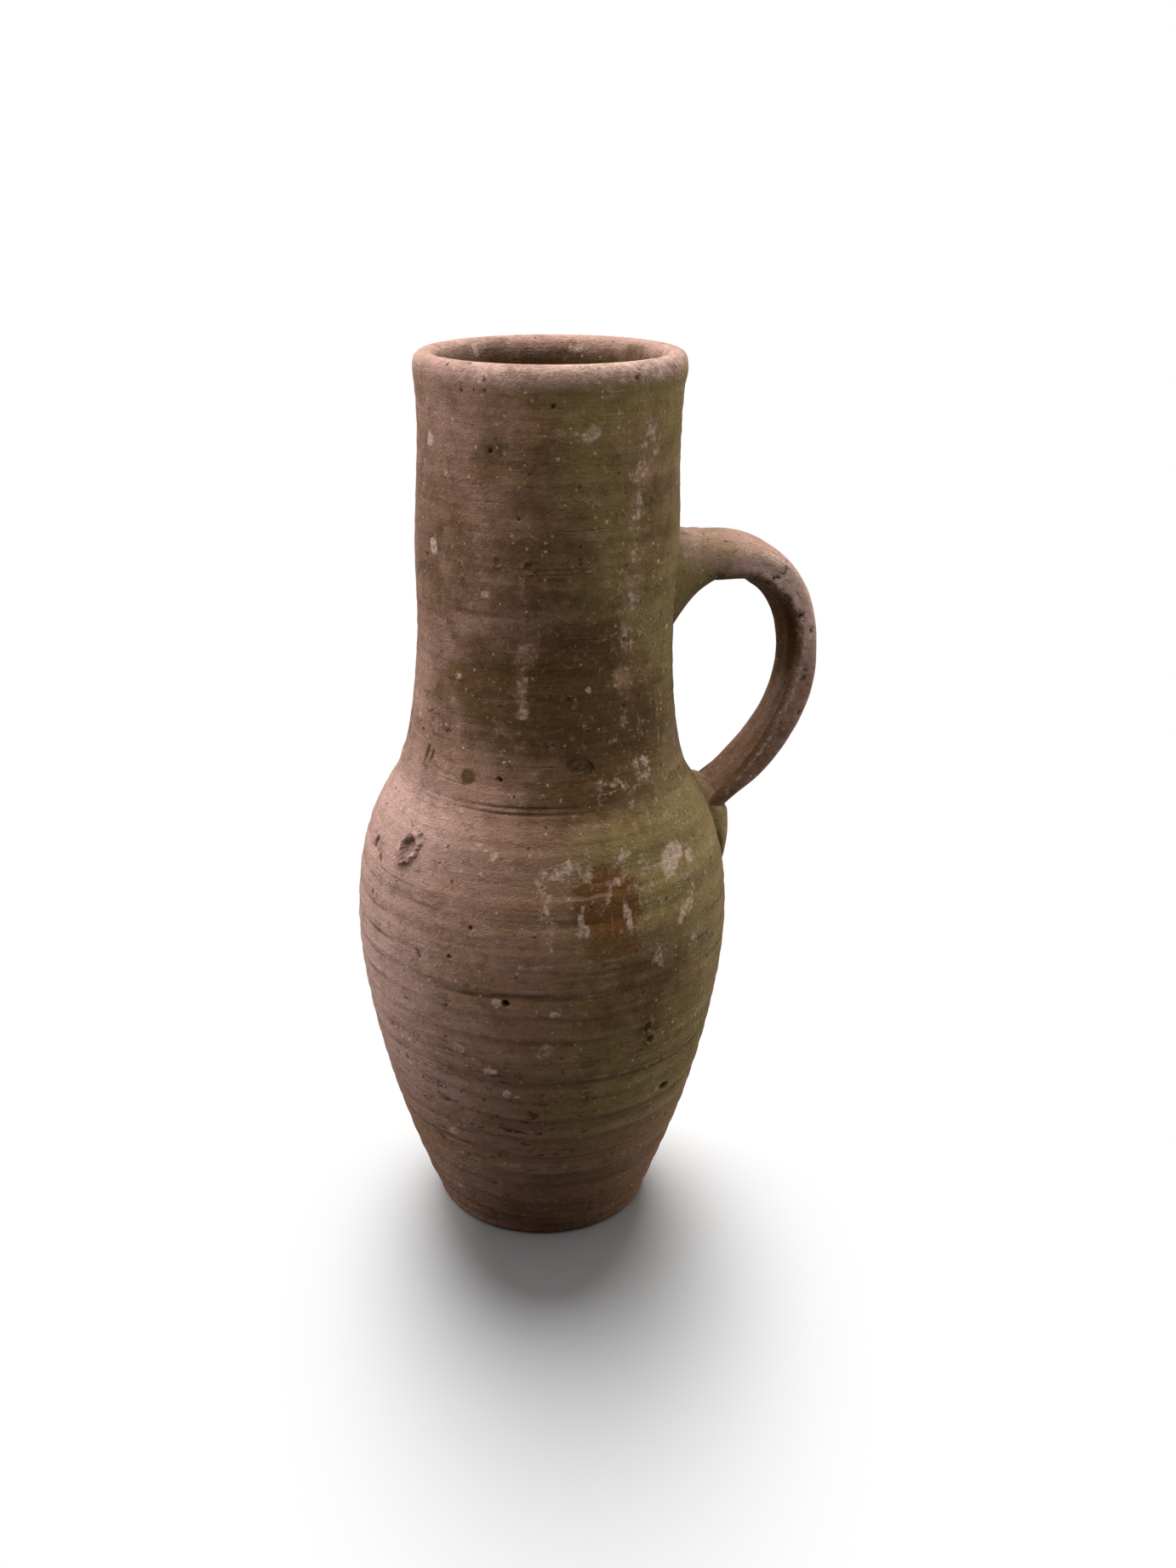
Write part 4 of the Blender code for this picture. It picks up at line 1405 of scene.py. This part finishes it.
def strap_points(angle_round, along, strap):
    """Bend a bar's points into the strap: along is 0 inside the neck and 1 inside the shoulder."""
    stations = STRAP_STATIONS
    middles = (stations[:, :2] + stations[:, 2:4]) / 2
    run = np.concatenate(([0.0], np.cumsum(np.linalg.norm(np.diff(middles, axis=0), axis=1))))
    run /= run[-1]
    inner_x, inner_z, outer_x, outer_z, angles = (np.interp(along, run, stations[:, k]) for k in range(5))
    near_inner = (np.cos(angle_round) < 0) & (np.sin(angle_round) < 0)
    root = 1 - smoothstep(0.08, 0.30, along)
    squareness = np.where(near_inner, NEAR_EDGE_SQUARENESS, strap.squareness)
    squareness = squareness * (1 - root) + ROOT_SQUARENESS * root
    across, rise = squircle(angle_round, squareness)
    widening = (1 - STRAP_ROOT_WIDTH) * smoothstep(0.5, 1.0, along)
    half_width = STRAP_BOX[1].y * (STRAP_ROOT_WIDTH + widening)
    thick = np.hypot(outer_x - inner_x, outer_z - inner_z)
    inner_face = smoothstep(0.3, 0.95, -rise)
    grip = smoothstep(0.28, 0.48, along)
    furrows = bell(across, -0.58, 0.30) + 0.40 * bell(across, 0.15, 0.45)
    near_lift = edge_lift(NEAR_EDGE, angles) * (1 - across) / 2
    far_lift = edge_lift(FAR_EDGE, angles) * (1 + across) / 2
    lift = (near_lift + far_lift) * (1 - rise) / 2 + strap.groove * grip * inner_face * furrows
    tongue = smoothstep(0.80, 0.97, along)
    outer_furrows = bell(across, -0.42, 0.34) + bell(across, 0.42, 0.34)
    crown = (0.06 + 0.30 * tongue) * thick * across**2 * (rise > 0)
    crown += OUTER_FURROW * outer_furrows * smoothstep(0.3, 0.95, rise) * grip
    level = (1 + rise) / 2 + (lift - crown) / thick
    return np.column_stack(
        (
            inner_x + (outer_x - inner_x) * level,
            across * half_width,
            inner_z + (outer_z - inner_z) * level,
        )
    )


# Marks on the strap: places along each (mm), its width (mm) and its depth (mm)
Scar = namedtuple("Scar", "places width depth")
STRAP_SCARS = (
    Scar(((95.7, -14.8, 242.7),), 3.6, 2.0),
    Scar(((99.5, -14.7, 236.9),), 1.8, 0.9),
    Scar(((95.8, -5.6, 219.3),), 1.6, 0.7),
    Scar(((80.3, -12.3, 255.3), (84.0, -13.0, 257.8), (86.0, -13.6, 258.2), (89.3, -13.9, 260.7)), 1.0, 0.8),
    Scar(((99.0, -14.9, 222.0), (98.0, -14.9, 221.4)), 1.3, 0.5),
    Scar(((98.2, -14.7, 218.5), (97.2, -14.7, 217.9)), 1.2, 0.5),
    Scar(((96.7, -15.0, 203.2), (97.6, -14.0, 205.0)), 4.0, 0.8),
    Scar(((77.3, -11.3, 255.9),), 4.5, 0.8),
    Scar(((90.0, 13.0, 262.0), (94.0, 9.0, 258.0)), 1.2, 0.6),
    Scar(((103.0, 6.0, 226.0),), 2.4, 1.0),
)


def cut_scars(piece, points):
    """Sink the strap's marks into it, and tell how far each point lies in one."""
    inside = np.zeros(len(points))
    depth = np.zeros(len(points))
    for scar in STRAP_SCARS:
        corners = np.array(scar.places) * MM
        steps = np.linspace(0, len(corners) - 1, 12 * len(corners))
        path = np.column_stack([np.interp(steps, range(len(corners)), corners[:, k]) for k in range(3)])
        on_strap = [points[np.argmin(np.linalg.norm(points - place, axis=1))] for place in path]
        gaps = np.min([np.linalg.norm(points - place, axis=1) for place in on_strap], axis=0)
        hole = 1 - smoothstep(0.35, 1.0, gaps / (scar.width * MM / 2))
        inside = np.maximum(inside, hole)
        depth = np.maximum(depth, hole * scar.depth * MM)
    normals = read_vectors(piece.data.vertices, "normal")
    return points - normals * depth[:, None], inside


def strap_masks(angle_round, along, in_scar):
    """Painted shade, soot and rust on the strap's inner face, painted highlight on its near side by the
    crown, wear on top of it and growth at its root.
    """
    across, rise = np.cos(angle_round), np.sin(angle_round)
    side = smoothstep(0.5, 0.95, -across)
    top = smoothstep(0.1, 0.8, rise)
    inner = smoothstep(0.2, 0.8, -rise)
    root = 1 - smoothstep(0.06, 0.22, along)
    furrow = inner * bell(across, -0.66, 0.30) * smoothstep(0.30, 0.45, along)
    ridge = bell(across, -0.90, 0.12) * smoothstep(0.15, 0.5, -rise) * smoothstep(0.35, 0.5, along)
    grown = (0.60 * side + 0.35 * top + 0.5 * inner) * root
    masks = {
        "grimy": 0.30 + 0.25 * inner,
        "olive": grown + 0.35 * bell(along, 0.28, 0.16) * side,
        # Painted shade over the inner face, which faces the neck
        "soot": inner * (0.85 - 0.6 * smoothstep(0.45, 0.70, along)),
        "rust": 0.25 * smoothstep(0.35, 0.6, along) * side,
        "worn": 0.36 * top,
        "scuffed": 0.7 * bell(along, 0.24, 0.16),
        "torn": np.full(len(along), 0.2),
        "chalk": 0.50 * ridge,
        "hollow": 0.64 * in_scar,
    }
    # Painted shade in the furrows of the inner face, and soot down the lower near side
    strengthen(masks, "soot", 0.85 * furrow, 0.52 * side * smoothstep(0.50, 0.78, along))
    # Rust over the painted shade of the furrows and the inner face
    strengthen(masks, "rust", 0.6 * furrow, 0.85 * inner * bell(along, 0.38, 0.24))
    # Painted highlight on the near side by the crown, laid in as wear and chalk
    strengthen(masks, "worn", side * (1 - smoothstep(0.36, 0.60, along)))
    strengthen(masks, "chalk", 0.88 * side * bell(along, 0.30, 0.25))
    return masks


class JUG_OT_pull_handle(Operator):
    """Pull the strap handle with its square edge and the furrows along its inner face"""

    bl_idname = "jug.pull_handle"
    bl_label = "Pull Handle"

    def execute(self, context):
        strap = context.scene.jug.strap
        piece = bar_piece("jug_handle", STRAP_AROUND, STRAP_ALONG)
        bar = read_points(piece)
        angle_round = np.arctan2(bar[:, 1], bar[:, 0])
        along = bar[:, 2]
        points = strap_points(angle_round, along, strap)
        drift = np.column_stack([cloud(points, 34, 30 + k) for k in range(3)])
        rough = np.column_stack([cloud(points, 160, 33 + k) for k in range(3)])
        ends = smoothstep(0.03, 0.14, along) * (1 - smoothstep(0.94, 1.0, along))
        points += (strap.wander * drift + 0.25 * strap.wander * rough) * ends[:, None]
        write_points(piece, points)
        points, in_scar = cut_scars(piece, points)
        write_points(piece, points)
        finish_piece(piece, "handle", strap_masks(angle_round, along, in_scar))
        return {"FINISHED"}


# The wad at the strap's root: how fast it flares towards the neck, how far it is let into neck and strap
# and hangs below its solid, and how far its surface swells
WAD_FLARE = 2.0
WAD_TOP_FLARE = 4.0
WAD_SINK = 0.0012
WAD_DROP = 0.004
WAD_TIP = 0.0035
WAD_HALF_WIDTH = 0.020
WAD_SWELL = 0.0007
WAD_FINE_SWELL = 0.0003


def upper_wad_points(angle_round, along):
    """Shape a bar's points into a flared wad: along is 0 on the neck's wall and 1 on the strap."""
    low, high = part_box("upper_wad")
    _, bottom, _, top, _ = STRAP_STATIONS[1]
    flare = (1 - along) ** WAD_FLARE
    lower = bottom - (bottom - low.z + WAD_DROP) * flare
    upper = top + (high.z - top) * (1 - along) ** WAD_TOP_FLARE
    strap_half = STRAP_BOX[1].y * STRAP_ROOT_WIDTH
    half_width = strap_half + (high.y - strap_half) * flare
    across, rise = squircle(angle_round, 2.2 + 0.6 * along)
    tuck = 1 - 0.06 * smoothstep(0.65, 1.0, along)
    y = across * half_width * tuck
    z = (lower + upper) / 2 + rise * tuck * (upper - lower) / 2
    wall = lean(z) + np.sqrt(np.maximum(pot_radius(z) ** 2 - y**2, 0.0)) - WAD_SINK
    return np.column_stack((wall + (high.x + WAD_TIP - wall) * along, y, z))


class JUG_OT_press_upper_wad(Operator):
    """Press the flared wad of clay that joins the strap to the neck"""

    bl_idname = "jug.press_upper_wad"
    bl_label = "Press Upper Wad"

    def execute(self, context):
        piece = bar_piece("jug_upper_wad", STRAP_AROUND, WAD_ALONG)
        bar = read_points(piece)
        along = bar[:, 2]
        points = upper_wad_points(np.arctan2(bar[:, 1], bar[:, 0]), along)
        swell = WAD_SWELL * cloud(points, 70, 40) + WAD_FINE_SWELL * cloud(points, 190, 41)
        swell *= bell(along, 0.45, 0.5)
        points[:, 1] *= 1 + swell / WAD_HALF_WIDTH
        points[:, 2] += swell
        write_points(piece, points)
        low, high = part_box("upper_wad")
        masks = pad_weathering(points)
        top = smoothstep((low.z + high.z) / 2, high.z, points[:, 2])
        strengthen(masks, "olive", 0.6 * (1 - top) * smoothstep(0.0, 0.010, -points[:, 1]))
        masks["soot"] = 0.5 * (1 - smoothstep(low.z, low.z + 0.016, points[:, 2]))
        masks["worn"] = 0.55 * top
        finish_piece(piece, "upper_wad", masks)
        return {"FINISHED"}


# The pad under the strap's foot: its crest's height, its reach from the axis there and at both ends,
# how far its back and its border lie in the wall, and how far it spreads and swells
LOWER_PAD_CREST = 0.1665
LOWER_PAD_REACH = 0.0733
LOWER_PAD_TAIL = 0.0720
LOWER_PAD_TOP = 0.0665
LOWER_PAD_SINK = 0.0025
LOWER_PAD_BED = 0.0006
LOWER_PAD_SPREAD = 1.34
LOWER_PAD_SWELL = 0.0004


def lower_pad_points(ball):
    """Shape a ball's points into a pad that lies on the shoulder and thins out down its tail."""
    low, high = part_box("lower_wad")
    height = (low.z + high.z) / 2 + ball[:, 2] * (high.z - low.z) / 2
    reach = np.interp(
        height, (low.z, LOWER_PAD_CREST, high.z), (LOWER_PAD_TAIL, LOWER_PAD_REACH, LOWER_PAD_TOP)
    )
    wall = pot_radius(height)
    stand = np.maximum(reach - wall, 0.0)
    front = np.clip(ball[:, 0], 0.0, 1.0) ** 0.40
    smear = LOWER_PAD_SWELL * np.sin(9.0 * ball[:, 1] + 1.2) * front
    out = np.where(ball[:, 0] > 0, stand * front + smear, LOWER_PAD_SINK * ball[:, 0])
    taper = 0.66 + 0.34 * smoothstep(-1.0, 0.3, ball[:, 2])
    swing = ball[:, 1] * high.y * LOWER_PAD_SPREAD * taper / wall
    radius = wall - LOWER_PAD_BED + out
    return np.column_stack((radius * np.cos(swing), radius * np.sin(swing), height))


def ball_piece(name, rows):
    """A fine ball of unit radius, ready to be pressed into shape."""
    bpy.ops.object.select_all(action="DESELECT")
    bpy.ops.mesh.primitive_uv_sphere_add(segments=2 * rows, ring_count=rows, radius=1, location=(0, 0, 0))
    piece = begin_piece(name)
    close_piece()
    return piece


class JUG_OT_press_lower_wad(Operator):
    """Press the pad of clay that is smeared down the shoulder under the strap's foot"""

    bl_idname = "jug.press_lower_wad"
    bl_label = "Press Lower Wad"

    def execute(self, context):
        piece = ball_piece("jug_lower_wad", PAD_ROWS)
        points = lower_pad_points(read_points(piece))
        points = move_out(points, LOWER_PAD_SWELL * cloud(points, 110, 50))
        write_points(piece, points)
        masks = pad_weathering(points)
        near = smoothstep(-0.004, 0.006, -points[:, 1])
        strengthen(masks, "olive", near * (0.55 + 0.3 * cloud(points, 60, 51)))
        masks["soot"] = 0.3 * cloud(points, 80, 52)
        finish_piece(piece, "lower_wad", masks)
        return {"FINISHED"}


# The stage

Lamp = namedtuple("Lamp", "name right ahead height size setting on_floor")
LAMPS = (
    Lamp("key_light", -0.02, 0.52, 1.15, 1.20, "key", True),
    Lamp("top_light", -0.10, -0.22, 1.25, 0.90, "top", False),
    Lamp("left_light", -0.95, 0.14, 0.62, 0.70, "left", False),
    Lamp("right_light", 0.95, 0.22, 0.38, 0.70, "right", False),
)
LAMP_TARGET = Vector((0.0, 0.0, 0.16))
FLOOR_SIZE = 12.0
FLOOR_CUTS = 3
CLIP_START = 0.01

# The floor turns plain white outside an ellipse that holds the shadow: its middle, its stretch to the front,
# the reach over which it fades, and how bright it is to the camera and to bounced light
SHADOW_RIGHT = 0.012
SHADOW_AHEAD = -0.025
SHADOW_STRETCH = 2.3
SHADOW_FADE = (0.031, 0.119)
FLOOR_SEEN = 0.77
FLOOR_BOUNCE = 0.60


def gray(level):
    return (level, level, level, 1.0)


def floor_material(stage, right, ahead):
    """White floor that keeps the jug's shadow and fades to plain white far off."""
    material = bpy.data.materials.new("floor_white")
    material.use_nodes = True
    tree = material.node_tree
    tools = Tree(tree)
    tree.nodes.remove(tree.nodes["Principled BSDF"])
    output = tree.nodes["Material Output"]
    place = tools.add("ShaderNodeTexCoord").outputs["Object"]
    drawn = tools.add(
        "ShaderNodeMapping",
        {"vector_type": "TEXTURE"},
        Vector=place,
        Location=right * SHADOW_RIGHT + ahead * SHADOW_AHEAD,
        Rotation=(0.0, 0.0, stage.azimuth),
        Scale=(1.0, SHADOW_STRETCH, 1.0),
    ).outputs[0]
    reach = tools.add("ShaderNodeVectorMath", {"operation": "LENGTH"}, **{"0": drawn}).outputs["Value"]
    far = tools.range(reach, *SHADOW_FADE)
    pale = tools.add("ShaderNodeBsdfDiffuse", Color=gray(FLOOR_SEEN)).outputs[0]
    dim = tools.add("ShaderNodeBsdfDiffuse", Color=gray(FLOOR_BOUNCE)).outputs[0]
    white = tools.add("ShaderNodeEmission", Color=gray(1.0), Strength=1.0).outputs[0]
    seen = tools.add("ShaderNodeMixShader", **{"0": far, "1": pale, "2": white}).outputs[0]
    both = tools.add("ShaderNodeMixShader", **{"0": seen_directly(tools), "1": dim, "2": seen})
    tree.links.new(both.outputs[0], output.inputs["Surface"])
    return material


def seen_directly(tools):
    """1 for rays from the camera and for mirrored and transmitted ones, 0 for light bounced about."""
    path = tools.add("ShaderNodeLightPath").outputs
    total = tools.math("ADD", path["Is Camera Ray"], path["Is Glossy Ray"])
    return tools.math("ADD", total, path["Is Transmission Ray"], clamp=True)


def lay_floor(stage, right, ahead):
    """A wide white floor under the jug's foot."""
    bpy.ops.object.select_all(action="DESELECT")
    bpy.ops.mesh.primitive_plane_add(size=FLOOR_SIZE, location=(0, 0, 0))
    floor = begin_piece("floor")
    bpy.ops.mesh.subdivide(number_cuts=FLOOR_CUTS)
    bpy.ops.object.mode_set(mode="OBJECT")
    floor.data.materials.append(floor_material(stage, right, ahead))
    return floor


def hang_lamps(stage, right, ahead, floor):
    """Soft lamps round the jug, of which only the key light falls on the floor."""
    off_floor = bpy.data.collections.new("off_the_floor")
    off_floor.objects.link(floor)
    off_floor.collection_objects[0].light_linking.link_state = "EXCLUDE"
    for lamp in LAMPS:
        place = right * lamp.right + ahead * lamp.ahead + Vector((0, 0, lamp.height))
        bpy.ops.object.light_add(type="AREA", location=place)
        light = bpy.context.object
        light.name = lamp.name
        light.data.shape = "DISK"
        light.data.size = lamp.size
        light.data.energy = getattr(stage, lamp.setting)
        if not lamp.on_floor:
            light.light_linking.receiver_collection = off_floor
        light.rotation_euler = (LAMP_TARGET - place).to_track_quat("-Z", "Y").to_euler()


def place_camera(stage, ahead):
    """The camera in front of the jug, looking down at it."""
    bpy.ops.object.camera_add(location=ahead * -stage.distance + Vector((0, 0, stage.height)))
    camera = bpy.context.object
    camera.name = "camera"
    look = ahead * math.cos(stage.pitch) - Vector((0, 0, math.sin(stage.pitch)))
    camera.rotation_euler = look.to_track_quat("-Z", "Y").to_euler()
    camera.data.lens = stage.lens
    camera.data.shift_x = stage.shift
    camera.data.clip_start = CLIP_START
    return camera


def studio_world(stage):
    """Plain white to the camera, and a weak even light on the jug."""
    world = bpy.data.worlds.new("studio")
    world.use_nodes = True
    tools = Tree(world.node_tree)
    background = world.node_tree.nodes["Background"]
    tools.feed(background, "Color", gray(1.0))
    strength = tools.range(seen_directly(tools), 0.0, 1.0, stage.ambient, 1.0)
    tools.feed(background, "Strength", strength)
    return world


class JUG_OT_set_stage(Operator):
    """Set the white floor, the soft lamps and the camera"""

    bl_idname = "jug.set_stage"
    bl_label = "Set Stage"

    def execute(self, context):
        scene = context.scene
        stage = scene.jug.stage
        ahead = Vector((-math.sin(stage.azimuth), math.cos(stage.azimuth), 0.0))
        right = Vector((ahead.y, -ahead.x, 0.0))
        floor = lay_floor(stage, right, ahead)
        hang_lamps(stage, right, ahead, floor)
        scene.camera = place_camera(stage, ahead)
        scene.view_settings.view_transform = "Standard"
        scene.world = studio_world(stage)
        return {"FINISHED"}


class JUG_PT_pieces(Panel):
    """Lists the jug's pieces and settings"""

    bl_idname = "JUG_PT_pieces"
    bl_label = "Earthenware Jug"
    bl_space_type = "VIEW_3D"
    bl_region_type = "UI"
    bl_category = "Jug"

    def draw(self, context):
        settings = context.scene.jug
        for title, group_settings in (
            ("Clay", settings.clay),
            ("Throwing", settings.throwing),
            ("Strap", settings.strap),
            ("Stage", settings.stage),
        ):
            box = self.layout.box()
            box.label(text=title)
            for name in group_settings.__annotations__:
                box.prop(group_settings, name)
        for maker in OPERATORS:
            self.layout.operator(maker.bl_idname)


OPERATORS = (
    JUG_OT_turn_body,
    JUG_OT_turn_neck,
    JUG_OT_lay_slip_ring,
    JUG_OT_pull_handle,
    JUG_OT_press_upper_wad,
    JUG_OT_press_lower_wad,
    JUG_OT_set_stage,
)
CLASSES = (
    ClayColours,
    ThrowingSettings,
    StrapSettings,
    StageSettings,
    JugSettings,
    *OPERATORS,
    JUG_PT_pieces,
)


def register():
    for cls in CLASSES:
        bpy.utils.register_class(cls)
    bpy.types.Scene.jug = PointerProperty(type=JugSettings)


def unregister():
    del bpy.types.Scene.jug
    for cls in reversed(CLASSES):
        bpy.utils.unregister_class(cls)


def main():
    register()
    bpy.ops.jug.turn_body()
    bpy.ops.jug.turn_neck()
    bpy.ops.jug.lay_slip_ring()
    bpy.ops.jug.pull_handle()
    bpy.ops.jug.press_upper_wad()
    bpy.ops.jug.press_lower_wad()
    bpy.ops.jug.set_stage()


if __name__ == "__main__":
    main()
